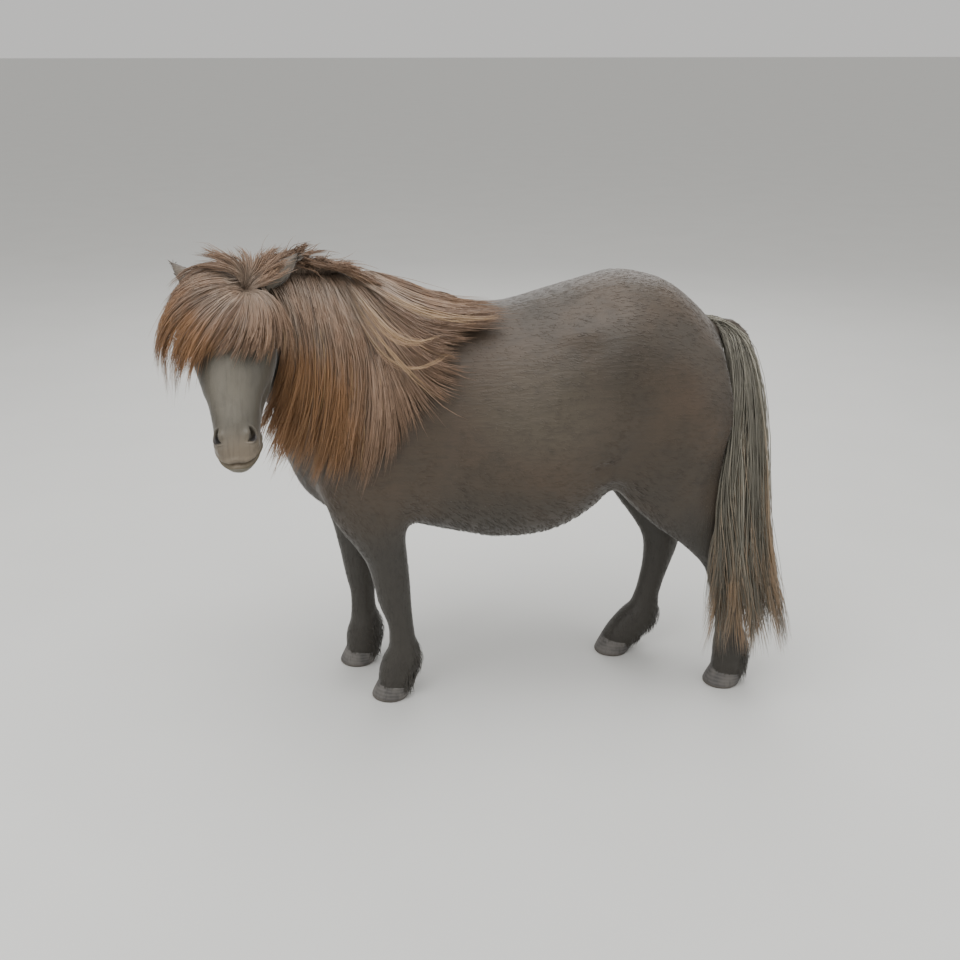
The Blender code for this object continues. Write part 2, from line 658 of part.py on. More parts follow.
def hoof(name):
    """A hoof: a flat sole, a wall that leans back, and a top that falls from toe to heel."""
    toe, heel = hoof_ends(name)
    y = toe.y
    turn = np.linspace(0, 2 * math.pi, HOOF_SIDES, endpoint=False)
    ahead = np.cos(turn)
    ahead = np.where(ahead > 0, ahead * HOOF_HEEL_SHARE, ahead)
    side = np.sin(turn)
    bm = bmesh.new()
    rings = []
    for rise, shrink in ((0, 0.96), (0.08, 1), (1, 0.93)):
        ring = []
        for u, v in zip(ahead, side):
            x = (toe.x + heel.x) / 2 + u * shrink * HOOF_LENGTH / 2 + rise * HOOF_LEAN
            top = CORONET_TOE * CROUP - CORONET_FALL * (x - toe.x)
            ring.append(bm.verts.new((x, y + v * shrink * HOOF_WIDTH / 2, rise * top)))
        rings.append(ring)
    for lower, upper in zip(rings, rings[1:]):
        for i in range(HOOF_SIDES):
            j = (i + 1) % HOOF_SIDES
            bm.faces.new((lower[i], lower[j], upper[j], upper[i]))
    bm.faces.new(rings[0][::-1])
    bm.faces.new(rings[-1])
    bmesh.ops.recalc_face_normals(bm, faces=bm.faces)
    bmesh.ops.triangulate(bm, faces=[face for face in bm.faces if len(face.verts) == 4])
    mesh = bpy.data.meshes.new(name)
    bm.to_mesh(mesh)
    bm.free()
    return add_object(name, mesh)


def eye_place(side):
    return head_scale() @ Vector((side * EYE_AT[0], EYE_AT[1], EYE_AT[2]))


def eyeball(name, side, radius, cuts=(12, 8)):
    bm = bmesh.new()
    bmesh.ops.create_uvsphere(bm, u_segments=cuts[0], v_segments=cuts[1], radius=radius)
    bmesh.ops.transform(bm, matrix=look_frame(side), verts=bm.verts)
    mesh = bpy.data.meshes.new(name)
    bm.to_mesh(mesh)
    bm.free()
    return add_object(name, mesh)


def look_frame(side):
    """A frame at the eye: Z the way it looks, X forward along its opening."""
    turn = head_frame().to_3x3()
    look = (turn @ Vector((side * EYE_LOOK[0], EYE_LOOK[1], EYE_LOOK[2]))).normalized()
    nose = turn @ Vector((0, 1, EYE_SLANT))
    ahead = (nose - look * nose.dot(look)).normalized()
    up = look.cross(ahead)
    return Matrix.Translation(eye_place(side)) @ Matrix((ahead, up, look)).transposed().to_4x4()


def lids(side):
    """The lids: a shell over the ball with an almond opening."""
    made = eyeball("lids", side, LID_RADIUS, (14, 10))
    turn = np.linspace(0, 2 * math.pi, 12, endpoint=False)
    across = np.cos(turn) * EYE_OPENING[0] / 2
    up = np.sin(turn) * (1 - 0.35 * np.abs(np.cos(turn))) * EYE_OPENING[1] / 2
    frame = look_frame(side)
    centres = np.array([frame @ Vector((0, 0, depth)) for depth in (0.6 * EYE_RADIUS, 2 * LID_RADIUS)])
    axes = np.array(frame.to_3x3())
    opening = loft("opening", centres, [axes[:, 0]] * 2, [axes[:, 1]] * 2, [(across, up)] * 2)
    boolean(made, opening, "DIFFERENCE")
    drop(opening)
    return made


def ear(name, side):
    """An ear: a cup that opens sideways and ends in a point."""
    base = head_scale() @ Vector((side * EAR_AT[0], EAR_AT[1], EAR_AT[2]))
    way = Vector(EAR_WAYS[name]).normalized()
    face = Vector(EAR_FACES[name])
    face = (face - way * face.dot(way)).normalized()
    across = way.cross(face)
    rings = []
    bm = bmesh.new()
    for share, radius, opening, bend in EAR_ROWS:
        centre = base + way * (share * EAR_LENGTH) + face * (bend * EAR_LENGTH)
        half = math.pi * (1 - opening)
        arc = np.linspace(-half, half, EAR_SIDES)
        outer = [centre + (across * math.sin(t) - face * math.cos(t)) * radius * EAR_LENGTH for t in arc]
        inner_radius = max(radius * EAR_LENGTH - EAR_WALL, 0.25 * radius * EAR_LENGTH)
        inner = [centre + (across * math.sin(t) - face * math.cos(t)) * inner_radius for t in arc[::-1]]
        rings.append([bm.verts.new(place) for place in outer + inner])
    for lower, upper in zip(rings, rings[1:]):
        for i in range(len(lower)):
            j = (i + 1) % len(lower)
            bm.faces.new((lower[i], lower[j], upper[j], upper[i]))
    for ring in (rings[0], rings[-1]):
        for i in range(EAR_SIDES - 1):
            j = len(ring) - 1 - i
            bm.faces.new((ring[i], ring[i + 1], ring[j - 1], ring[j]))
    bmesh.ops.triangulate(bm, faces=bm.faces)
    bmesh.ops.recalc_face_normals(bm, faces=bm.faces)
    mesh = bpy.data.meshes.new(name)
    bm.to_mesh(mesh)
    bm.free()
    made = add_object(name, mesh)
    base_plug = blob("plug", base + way * 0.006, [EAR_ROWS[0][1] * EAR_LENGTH * 1.03] * 3, cuts=2)
    boolean(made, base_plug, "UNION")
    drop(base_plug)
    return made


def mouth_cutter():
    """A thin curved slot between the lips, open at the front and the sides."""
    frame = head_scale()
    slot = blob("mouth", (0, MOUTH_AT[0], MOUTH_AT[1]), (0.16, 0.15, 0.0045), frame)
    core = blob("mouth_core", (0, MOUTH_AT[0] - 0.01, MOUTH_AT[1]), (0.068, 0.135, 0.05), frame, cuts=1)
    boolean(slot, core, "DIFFERENCE")
    drop(core)
    return slot


def nostril_cutter(side):
    frame = head_scale() @ Matrix.Translation((side * 0.098, 0.905, -0.100))
    frame = frame @ Matrix.Rotation(side * math.radians(-35), 4, "Z")
    frame = frame @ Matrix.Rotation(math.radians(25), 4, "X")
    return blob("nostril_hole", (0, 0, 0), (0.024, 0.052, 0.042), frame, cuts=1)


def lock(name, path, lay, width, thickness):
    """A flat lock along a path, wide at its middle and pointed at the tip. lay is the way it faces."""
    path = np.array(path)
    way = np.gradient(path, axis=0)
    way /= np.linalg.norm(way, axis=1)[:, None]
    side = np.cross(way, lay)
    for k in range(len(side) - 2, -1, -1):
        if side[k] @ side[k + 1] < 0:
            side[k] *= -1
    side[1:-1] = side[:-2] + 2 * side[1:-1] + side[2:]
    side -= way * (side * way).sum(axis=1)[:, None]
    side /= np.linalg.norm(side, axis=1)[:, None]
    lay = np.cross(side, way)
    bm = bmesh.new()
    rings = []
    for k in range(len(path) - 1):
        share = k / (len(path) - 1)
        half = width / 2 * min(1, LOCK_ROOT + 1.4 * share) * (1 - 0.75 * share**3)
        deep = thickness * min(1, 0.5 + 2 * share) * (1 - 0.6 * share**2)
        corners = (path[k] - side[k] * half, path[k] + side[k] * half, path[k] + lay[k] * deep)
        rings.append([bm.verts.new(place) for place in corners])
    tip = bm.verts.new(path[-1])
    for lower, upper in zip(rings, rings[1:]):
        for i in range(3):
            j = (i + 1) % 3
            bm.faces.new((lower[i], lower[j], upper[j]))
            bm.faces.new((lower[i], upper[j], upper[i]))
    for i in range(3):
        bm.faces.new((rings[-1][i], rings[-1][(i + 1) % 3], tip))
    bm.faces.new(rings[0][::-1])
    bmesh.ops.recalc_face_normals(bm, faces=bm.faces)
    mesh = bpy.data.meshes.new(name)
    bm.to_mesh(mesh)
    bm.free()
    return add_object(name, mesh)


def laid(path, body, lift):
    """The path with all but its root at least the lift outside the body, and the way out at each point."""
    moved = []
    lay = []
    for k, place in enumerate(path):
        near, out, _, far = body.find_nearest(Vector(place))
        away = Vector(place) - near
        inside = away.dot(out) < 0
        if k == 0:
            moved.append(near - out * ROOT_DEPTH)
        elif inside or far < lift:
            moved.append(near + out * lift)
        else:
            moved.append(Vector(place))
        lay.append(out if inside or far < 3 * lift else (away.normalized() + out).normalized())
    moved = np.array(moved)
    lay = np.array(lay)
    for _ in range(SETTLING_TURNS):
        for k in range(1, len(moved) - 1):
            middle = Vector((moved[k] + moved[k + 1]) / 2)
            near, out, _, far = body.find_nearest(middle)
            short = lift + far if (middle - near).dot(out) < 0 else lift - far
            if short > 0:
                moved[k:k + 2] += np.array(out) * short
    lay[1:-1] = lay[:-2] + lay[1:-1] + lay[2:]
    return moved, lay / np.linalg.norm(lay, axis=1)[:, None]


def between(guides, at):
    """The line at a place between two of the guides, at LOCK_STEPS points."""
    first = min(int(at), len(guides) - 2)
    share = at - first
    line = np.array(guides[first]) * (1 - share) + np.array(guides[first + 1]) * share
    return resampled(line, LOCK_STEPS)


def locks_between(name, guides, spread, size, body, draw, frame):
    made = []
    for start, end, count in spread:
        for k in range(count):
            layer = k % LAYERS
            at = start + (end - start) * (k + draw.uniform(0.2, 0.8)) / count
            line = between(guides, at)
            line = np.array([frame @ Vector(place) for place in line])
            reach = 1 - 0.10 * layer - draw.uniform(0, 0.14)
            line = line[0] + (line - line[0]) * reach
            drift = np.linspace(0, 1, LOCK_STEPS - 1)[:, None]
            line[1:] += draw.normal(0, 0.004, 3) + drift * draw.normal(0, 0.008, 3)
            lift = size["lift"] + layer * LAYER_LIFT
            path, lay = laid(line, body, lift)
            width = size["width"] * draw.uniform(0.8, 1.15)
            made.append(lock(f"{name}_{len(made)}", path, lay, width, size["thickness"]))
    return made


def tail_locks(body, draw):
    """Locks in a bundle round the dock, the outer ones starting higher and the tips at many heights."""
    rows = resampled(TAIL, 60) * CROUP
    made = []
    for k in range(TAIL_LOCKS):
        turn = k * GOLDEN_TURN
        ring = 0.50 + 0.50 * ((k * GOLDEN_SHARE) % 1)
        start = int(9 + 8 * (1 - ring) + draw.uniform(0, 6))
        end = int(60 - draw.uniform(0, 22) * (1.1 - 0.8 * ring))
        steps = np.linspace(start, min(end, 59), LOCK_STEPS).astype(int)
        spread = np.linspace(0.55, 1, LOCK_STEPS) * ring
        line = rows[steps, :3].copy()
        line[:, 0] += rows[steps, 3] * spread * math.cos(turn)
        line[:, 1] += rows[steps, 4] * spread * math.sin(turn)
        line[0] = rows[start, :3]
        facing = np.array([math.cos(turn), math.sin(turn), 0.1])
        lay = np.tile(facing / np.linalg.norm(facing), (LOCK_STEPS, 1))
        line, _ = laid(line, body, TAIL_CLEAR)
        line[0] = rows[start, :3]
        width = TAIL_LOCK["width"] * draw.uniform(0.8, 1.15)
        made.append(lock(f"tail_{k}", line, lay, width, TAIL_LOCK["thickness"]))
    return made


def dock():
    rows = resampled(TAIL[:5], 14) * CROUP
    rows[:, 3:] *= np.linspace(0.95, 0.30, 14)[:, None]
    way = np.gradient(rows[:, :3], axis=0)
    way /= np.linalg.norm(way, axis=1)[:, None]
    fore = np.array([1, 0, 0]) - way * way[:, 0:1]
    fore /= np.linalg.norm(fore, axis=1)[:, None]
    sections = [section(wide, long, 0, 2, 14) for *_, long, wide in rows]
    return loft("tail", rows[:, :3], np.cross(fore, way), fore, sections)


def cut_clear(locks, others):
    """Cuts each lock back from any of the others that it would cross."""
    for other in others:
        around = grown(other, CLEARANCE)
        edge = tree_of(around)
        for piece in locks:
            if edge.overlap(tree_of(piece)):
                boolean(piece, around, "DIFFERENCE", "MANIFOLD")
        drop(around)


def unite(obj, locks, solver="MANIFOLD"):
    """Joins all the locks to the object in one union."""
    group = bpy.data.collections.new(obj.name + "_locks")
    bpy.context.scene.collection.children.link(group)
    for piece in locks:
        bpy.context.scene.collection.objects.unlink(piece)
        group.objects.link(piece)
    union = obj.modifiers.new("Locks", "BOOLEAN")
    union.operation = "UNION"
    union.operand_type = "COLLECTION"
    union.collection = group
    union.solver = solver
    apply_modifiers(obj)
    drop(*locks)
    bpy.data.collections.remove(group)
    keep_largest(obj)


def add_features(head):
    """Lids round the eyes, with sockets for the balls, nostrils and the line of the mouth."""
    for side in (-1, 1):
        lid = lids(side)
        boolean(head, lid, "UNION")
        socket = eyeball("socket", side, EYE_RADIUS + GAP)
        boolean(head, socket, "DIFFERENCE")
        hole = nostril_cutter(side)
        boolean(head, hole, "DIFFERENCE")
        drop(lid, socket, hole)
    mouth = mouth_cutter()
    boolean(head, mouth, "DIFFERENCE")
    drop(mouth)
    keep_largest(head)


def clear_of(obj, others):
    """Cuts the object back from each of the others by a little more than the gap."""
    for other in others:
        around = grown(other, CLEARANCE)
        boolean(obj, around, "DIFFERENCE", "MANIFOLD")
        drop(around)
    keep_largest(obj)


def finished(nodes):
    """Gives each node its material and its own origin, and stands the whole over the world's origin."""
    corners = np.array([v.co for node in nodes.values() for v in node.data.vertices])
    low = corners.min(axis=0)
    high = corners.max(axis=0)
    foot = Vector(((low[0] + high[0]) / 2, (low[1] + high[1]) / 2, low[2]))
    kinds = {key: material(key, *look) for key, look in MATERIALS.items()}
    for name, node in nodes.items():
        node.name = name
        node.data.name = name
        spots = np.array([v.co for v in node.data.vertices])
        middle = Vector((spots.min(axis=0) + spots.max(axis=0)) / 2)
        node.data.transform(Matrix.Translation(-middle))
        node.location = middle - foot
        node.data.materials.clear()
        node.data.materials.append(kinds[kind_of(name)].copy())
        node.data.shade_smooth()
        node.data.set_sharp_from_angle(angle=math.radians(60))


def kind_of(name):
    for key in MATERIALS:
        if key in name:
            return key
    return "coat"


def main():
    clear_scene()
    draw = np.random.default_rng(HAIR_SEED)
    flesh = flesh_form()
    thinned(flesh, FLESH_TRIANGLES)
    body = tree_of(flesh)
    nodes = {}
    for name, (_, side, planes, knee) in LEGS.items():
        upper = taken(flesh, name + "_upper", planes if side < 0 else mirrored(planes))
        lower = taken(upper, name + "_lower", [((0, 0, knee), (0, 0, 1))])
        drop(taken(lower, "below", sole_planes(name)))
        nodes[name + "_upper"] = upper
        nodes[name + "_lower"] = lower
        nodes[name + "_hoof"] = hoof(name)
    neck = taken(flesh, "neck", NECK_PLANES)
    head = taken(neck, "head", head_planes())
    for name in ("ear_left", "ear_right"):
        nodes[name] = ear(name, -1 if name == "ear_left" else 1)
        clear_of(nodes[name], [head, neck])
    add_features(head)
    for side, name in ((-1, "eye_left"), (1, "eye_right")):
        nodes[name] = eyeball(name, side, EYE_RADIUS)
    nodes.update(torso=flesh, neck=neck, head=head, tail=dock())
    clear_of(nodes["tail"], [flesh])
    plain = Matrix.Scale(CROUP, 4)
    mane = locks_between("near", MANE_NEAR, MANE_NEAR_SPREAD, MANE_LOCK, body, draw, plain)
    mane += locks_between("crest", MANE_CREST, CREST_SPREAD, MANE_LOCK, body, draw, plain)
    mane += locks_between("far", MANE_FAR, MANE_FAR_SPREAD, MANE_LOCK, body, draw, plain)
    brow = locks_between("brow", FORELOCK, FORELOCK_SPREAD, FORELOCK_LOCK, body, draw, head_scale())
    dock_hair = tail_locks(body, draw)
    ears = [nodes["ear_left"], nodes["ear_right"]]
    eyes = [nodes["eye_left"], nodes["eye_right"]]
    cut_clear(mane, [flesh, head, nodes["fore_left_upper"]] + ears)
    cut_clear(brow, [neck] + ears + eyes)
    cut_clear(dock_hair, [flesh] + [nodes["hind_left" + end] for end in ("_upper", "_lower", "_hoof")])
    unite(neck, mane)
    unite(head, brow)
    unite(nodes["tail"], dock_hair)
    finished(nodes)


main()
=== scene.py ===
# The looks of a life-size Shetland pony: skin, coat, mane, forelock, tail, eyes and hooves.
import math

import bpy
import numpy as np
from mathutils import Matrix, Vector
from mathutils.bvhtree import BVHTree


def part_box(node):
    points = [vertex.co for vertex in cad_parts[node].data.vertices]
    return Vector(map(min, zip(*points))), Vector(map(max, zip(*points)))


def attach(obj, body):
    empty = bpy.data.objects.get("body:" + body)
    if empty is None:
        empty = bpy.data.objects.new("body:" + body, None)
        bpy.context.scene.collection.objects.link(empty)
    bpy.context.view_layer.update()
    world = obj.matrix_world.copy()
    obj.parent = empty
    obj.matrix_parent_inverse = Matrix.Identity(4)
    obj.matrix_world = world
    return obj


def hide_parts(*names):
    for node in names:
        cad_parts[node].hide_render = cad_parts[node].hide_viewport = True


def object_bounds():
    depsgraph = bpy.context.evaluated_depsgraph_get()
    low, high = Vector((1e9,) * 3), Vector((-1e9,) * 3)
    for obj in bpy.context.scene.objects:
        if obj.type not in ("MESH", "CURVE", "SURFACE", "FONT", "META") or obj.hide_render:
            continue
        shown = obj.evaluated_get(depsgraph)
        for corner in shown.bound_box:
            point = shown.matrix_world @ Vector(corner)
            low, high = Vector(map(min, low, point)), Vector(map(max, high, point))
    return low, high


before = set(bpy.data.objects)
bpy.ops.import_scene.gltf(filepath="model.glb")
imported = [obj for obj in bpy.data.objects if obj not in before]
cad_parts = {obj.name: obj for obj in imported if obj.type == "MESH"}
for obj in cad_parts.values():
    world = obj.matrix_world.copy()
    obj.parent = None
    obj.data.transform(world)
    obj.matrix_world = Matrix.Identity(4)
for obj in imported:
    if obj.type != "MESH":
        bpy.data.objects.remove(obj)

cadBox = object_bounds()

# The body's main shape. Lengths in the rows are shares of croup, the height of the croup in metres.
shape = {
    "croup": 1.0,
    "headLength": 0.392,
    "voxel": 0.0095,
    "filletReach": 0.030,
    "filletTurns": 30,
    "filletLeast": 0.06,
    "coatDepth": 0.0022,
    "lowest": 0.006,        # how far skin and mane stay off the floor
    # along X, top, bottom, half width, egg, squareness
    "trunk": [
        (-0.540, 0.690, 0.590, 0.060, 0.00, 2.0),
        (-0.505, 0.780, 0.520, 0.125, 0.00, 2.1),
        (-0.440, 0.870, 0.465, 0.165, 0.00, 2.2),
        (-0.360, 0.925, 0.440, 0.184, -0.05, 2.2),
        (-0.270, 0.945, 0.435, 0.200, -0.10, 2.2),
        (-0.170, 0.940, 0.415, 0.212, -0.12, 2.2),
        (-0.064, 0.933, 0.398, 0.226, -0.12, 2.2),
        (0.050, 0.962, 0.410, 0.232, -0.10, 2.2),
        (0.135, 0.985, 0.452, 0.224, -0.04, 2.2),
        (0.205, 0.998, 0.512, 0.216, 0.06, 2.2),
        (0.300, 0.978, 0.560, 0.196, 0.05, 2.2),
        (0.370, 0.930, 0.580, 0.174, 0.00, 2.2),
        (0.421, 0.870, 0.600, 0.135, 0.00, 2.1),
        (0.446, 0.790, 0.640, 0.070, 0.00, 2.0),
    ],
    # centre X, Y, Z, half depth, half width
    "neck": [
        (-0.190, 0.000, 0.720, 0.215, 0.130),
        (-0.320, -0.008, 0.770, 0.205, 0.120),
        (-0.420, -0.030, 0.825, 0.180, 0.102),
        (-0.505, -0.070, 0.880, 0.148, 0.084),
        (-0.570, -0.115, 0.925, 0.118, 0.070),
        (-0.600, -0.150, 0.945, 0.095, 0.060),
    ],
    # the tail's flesh: centre X, Y, Z, half length, half width
    "dock": [
        (0.395, 0.000, 0.850, 0.024, 0.022),
        (0.445, -0.003, 0.862, 0.030, 0.028),
        (0.488, -0.012, 0.822, 0.026, 0.025),
        (0.503, -0.030, 0.730, 0.018, 0.018),
        (0.506, -0.060, 0.640, 0.010, 0.010),
    ],
}

# Each leg: its side, then centre X, Z, half length fore and aft, half width, distance from the midline.
legs = {
    "fore_left": (-1, [
        (-0.320, 0.740, 0.140, 0.055, 0.130),
        (-0.345, 0.620, 0.135, 0.064, 0.135),
        (-0.348, 0.510, 0.100, 0.058, 0.128),
        (-0.336, 0.430, 0.064, 0.047, 0.112),
        (-0.322, 0.370, 0.050, 0.040, 0.100),
        (-0.312, 0.300, 0.044, 0.039, 0.090),
        (-0.307, 0.255, 0.041, 0.034, 0.087),
        (-0.296, 0.200, 0.033, 0.028, 0.085),
        (-0.292, 0.150, 0.034, 0.029, 0.084),
        (-0.290, 0.110, 0.045, 0.037, 0.083),
        (-0.303, 0.075, 0.046, 0.039, 0.083),
        (-0.311, 0.042, 0.044, 0.042, 0.083),
        (-0.316, 0.015, 0.040, 0.038, 0.083),
    ]),
    "fore_right": (1, [
        (-0.330, 0.740, 0.140, 0.055, 0.130),
        (-0.372, 0.620, 0.135, 0.064, 0.135),
        (-0.395, 0.510, 0.100, 0.058, 0.128),
        (-0.408, 0.430, 0.064, 0.047, 0.112),
        (-0.403, 0.370, 0.050, 0.040, 0.100),
        (-0.393, 0.290, 0.044, 0.039, 0.090),
        (-0.390, 0.245, 0.040, 0.034, 0.087),
        (-0.387, 0.195, 0.033, 0.028, 0.085),
        (-0.386, 0.145, 0.034, 0.029, 0.084),
        (-0.382, 0.105, 0.044, 0.037, 0.083),
        (-0.388, 0.073, 0.046, 0.039, 0.083),
        (-0.392, 0.042, 0.044, 0.042, 0.083),
        (-0.396, 0.015, 0.040, 0.038, 0.083),
    ]),
    "hind_left": (-1, [
        (0.284, 0.850, 0.134, 0.055, 0.105),
        (0.291, 0.720, 0.156, 0.082, 0.122),
        (0.303, 0.610, 0.140, 0.080, 0.122),
        (0.348, 0.510, 0.102, 0.066, 0.114),
        (0.408, 0.415, 0.062, 0.044, 0.106),
        (0.452, 0.350, 0.050, 0.036, 0.098),
        (0.470, 0.305, 0.047, 0.036, 0.093),
        (0.474, 0.250, 0.038, 0.031, 0.090),
        (0.484, 0.190, 0.032, 0.027, 0.089),
        (0.491, 0.150, 0.034, 0.029, 0.088),
        (0.500, 0.110, 0.045, 0.037, 0.088),
        (0.502, 0.075, 0.045, 0.039, 0.088),
        (0.499, 0.042, 0.044, 0.042, 0.088),
        (0.496, 0.015, 0.040, 0.038, 0.088),
    ]),
    "hind_right": (1, [
        (0.280, 0.850, 0.140, 0.055, 0.105),
        (0.275, 0.720, 0.165, 0.082, 0.122),
        (0.272, 0.610, 0.148, 0.080, 0.122),
        (0.295, 0.510, 0.104, 0.066, 0.112),
        (0.325, 0.420, 0.070, 0.046, 0.100),
        (0.350, 0.355, 0.054, 0.038, 0.092),
        (0.358, 0.310, 0.048, 0.037, 0.088),
        (0.350, 0.250, 0.038, 0.031, 0.086),
        (0.337, 0.190, 0.033, 0.028, 0.085),
        (0.328, 0.145, 0.035, 0.030, 0.084),
        (0.320, 0.105, 0.046, 0.037, 0.083),
        (0.290, 0.073, 0.046, 0.039, 0.082),
        (0.266, 0.042, 0.044, 0.042, 0.082),
        (0.246, 0.015, 0.040, 0.038, 0.082),
    ]),
}

# The head. Its rows and places are shares of headLength: X to the right cheek, Y down the nose, Z out of the brow.
head = {
    "poll": (-0.612, -0.175, 1.035),
    "noseWay": (0.045, -0.670, -0.735),
    "rollDegrees": 5,
    # along, brow line, jaw line, half width, egg, squareness
    "rows": [
        (-0.080, -0.080, -0.260, 0.090, 0.00, 2.0),
        (0.000, 0.000, -0.370, 0.150, 0.05, 2.2),
        (0.110, 0.040, -0.470, 0.182, 0.15, 2.4),
        (0.240, 0.062, -0.510, 0.200, 0.22, 2.4),
        (0.360, 0.058, -0.490, 0.206, 0.25, 2.4),
        (0.470, 0.040, -0.430, 0.188, 0.22, 2.4),
        (0.590, 0.015, -0.355, 0.156, 0.18, 2.4),
        (0.700, -0.010, -0.305, 0.128, 0.12, 2.4),
        (0.790, -0.025, -0.285, 0.118, 0.08, 2.4),
        (0.870, -0.045, -0.285, 0.120, 0.05, 2.3),
        (0.935, -0.075, -0.275, 0.097, 0.00, 2.2),
        (0.975, -0.110, -0.250, 0.070, 0.00, 2.1),
        (1.000, -0.150, -0.218, 0.036, 0.00, 2.0),
    ],
    # soft lumps fused into it: centre, radii; those off the midline stand on both sides
    "lumps": [
        ((0, 0.915, -0.250), (0.070, 0.070, 0.055)),
        ((0.072, 0.870, -0.110), (0.052, 0.085, 0.060)),
        ((0.085, 0.230, -0.300), (0.105, 0.200, 0.190)),
    ],
    # the finer forms: centre, radii, height
    "forms": [
        ((0.165, 0.300, -0.020), (0.075, 0.110, 0.060), 0.010),
        ((0.120, 0.235, 0.020), (0.060, 0.065, 0.060), -0.008),
        ((0.150, 0.480, -0.165), (0.040, 0.190, 0.035), 0.007),
        ((0.130, 0.620, -0.130), (0.060, 0.130, 0.050), -0.006),
        ((0.150, 0.260, -0.420), (0.090, 0.170, 0.090), 0.009),
        ((0.110, 0.480, -0.400), (0.070, 0.110, 0.060), -0.006),
        ((0.000, 0.560, 0.040), (0.060, 0.300, 0.060), 0.004),
        ((0.095, 0.840, -0.190), (0.055, 0.060, 0.045), 0.005),
    ],
}

eyes = {
    "at": (0.182, 0.345, -0.085),
    "look": (0.90, 0.12, 0.35),
    "slant": -0.25,
    "radius": 0.0175,
    "lidRadius": 0.0203,
    "opening": (0.0150, 0.0098),
    "lidBow": 0.0016,
    "lidRim": 0.0011,
    "lidCrease": 0.0010,
    "sunk": 0.0035,
    "pupil": (0.0062, 0.0032),
    "irisEdge": (0.0088, 0.0104),
    "iris": (0.050, 0.022, 0.010),
    "rim": (0.030, 0.022, 0.018),
    "pupilBlack": (0.004, 0.004, 0.005),
}

muzzle = {
    "nostril": (0.080, 0.850, -0.056),
    "nostrilOut": (0.62, 0.36, 0.62),
    "nostrilAlong": (0.12, -0.97, 0.10),
    "nostrilSize": (0.0150, 0.0060),
    "nostrilBend": 0.0085,
    "nostrilDepth": 0.013,
    "nostrilRim": 0.0022,
    "nostrilFold": 0.0040,
    "lipHeight": 0.0026,
    "lipApart": 0.0085,
    "mouth": -0.130,
    "mouthFall": 0.40,
    "lipsAt": 0.985,        # how far down the nose the mouth line has its own height
    "mouthCorner": 0.800,
    "mouthDepth": 0.0060,
}

ears = {
    "length": 0.106,
    "at": (0.150, 0.045, -0.050),
    "sides": 13,
    "wall": 0.0040,
    "ways": {-1: (0.68, 0.60, 0.42), 1: (-0.61, 0.72, 0.33)},
    "faces": {-1: (0.55, 0.50, -0.55), 1: (-0.80, -0.20, -0.30)},
    # along, radius, how much of the round is open, bend
    "rows": [
        (0.00, 0.180, 0.10, 0.00),
        (0.16, 0.205, 0.18, 0.01),
        (0.34, 0.220, 0.26, 0.02),
        (0.54, 0.200, 0.32, 0.03),
        (0.74, 0.145, 0.36, 0.02),
        (0.90, 0.080, 0.38, -0.01),
        (1.00, 0.022, 0.40, -0.05),
    ],
}

# Muscles, bones and hollows of the body: centre X, distance out, Z, radii, height. Each stands on both sides.
muscles = [
    ((-0.490, 0.110, 0.640), (0.090, 0.080, 0.090), 0.012),
    ((-0.330, 0.190, 0.740), (0.110, 0.070, 0.150), 0.006),
    ((-0.270, 0.170, 0.560), (0.055, 0.060, 0.060), 0.008),
    ((-0.200, 0.200, 0.640), (0.050, 0.080, 0.120), -0.007),
    ((0.095, 0.170, 0.905), (0.075, 0.060, 0.045), 0.007),
    ((0.115, 0.225, 0.720), (0.100, 0.070, 0.120), -0.010),
    ((0.215, 0.205, 0.570), (0.070, 0.060, 0.070), 0.010),
    ((0.340, 0.170, 0.760), (0.120, 0.070, 0.150), 0.007),
    ((0.395, 0.150, 0.560), (0.040, 0.080, 0.130), -0.006),
    ((0.090, 0.150, 0.935), (0.045, 0.050, 0.022), 0.006),
    ((0.150, 0.150, 0.945), (0.060, 0.060, 0.016), -0.005),
    ((0.150, 0.200, 0.610), (0.055, 0.060, 0.022), -0.009),
    ((0.175, 0.200, 0.575), (0.060, 0.060, 0.030), 0.008),
]


def resampled(rows, count):
    rows = np.array(rows, float)
    ends = np.concatenate([2 * rows[:1] - rows[1:2], rows, 2 * rows[-1:] - rows[-2:-1]])
    steps = np.linspace(0, len(rows) - 1.0001, count)
    first = steps.astype(int)
    t = (steps - first).reshape((-1,) + (1,) * (rows.ndim - 1))
    a, b, c, d = (ends[first + k] for k in range(4))
    return 0.5 * (2 * b + (c - a) * t + (2 * a - 5 * b + 4 * c - d) * t**2 + (3 * b - a - 3 * c + d) * t**3)


def unit(vectors):
    return vectors / np.maximum(np.linalg.norm(vectors, axis=-1, keepdims=True), 1e-12)


def sided(side, place):
    # a place on the right side (1) or the left one (-1)
    return (side * place[0], *place[1:])


def headTurn():
    nose = Vector(head["noseWay"]).normalized()
    brow = (Vector((0, 0, 1)) - nose * nose.z).normalized()
    brow.rotate(Matrix.Rotation(math.radians(head["rollDegrees"]), 3, nose))
    cheek = nose.cross(brow)
    return Matrix((cheek, nose, brow)).transposed()


headInBody = Matrix.Translation(Vector(head["poll"]) * shape["croup"]) @ headTurn().to_4x4()
lowEye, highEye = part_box("eye_left")
eyeInBody = headInBody @ (Vector(sided(-1, eyes["at"])) * shape["headLength"])
standing = (lowEye + highEye) / 2 - eyeInBody      # from the rows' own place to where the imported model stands
headFrame = Matrix.Translation(standing) @ headInBody @ Matrix.Scale(shape["headLength"], 4)
fromHead = np.array(headFrame.inverted())


def placed(points):
    return np.array(points, float) * shape["croup"] + np.array(standing)


def homeOf(points):
    # the other way round: shares of croup, as the rows have them
    return (points - np.array(standing)) / shape["croup"]


def inHead(points):
    return points @ fromHead[:3, :3].T + fromHead[:3, 3]


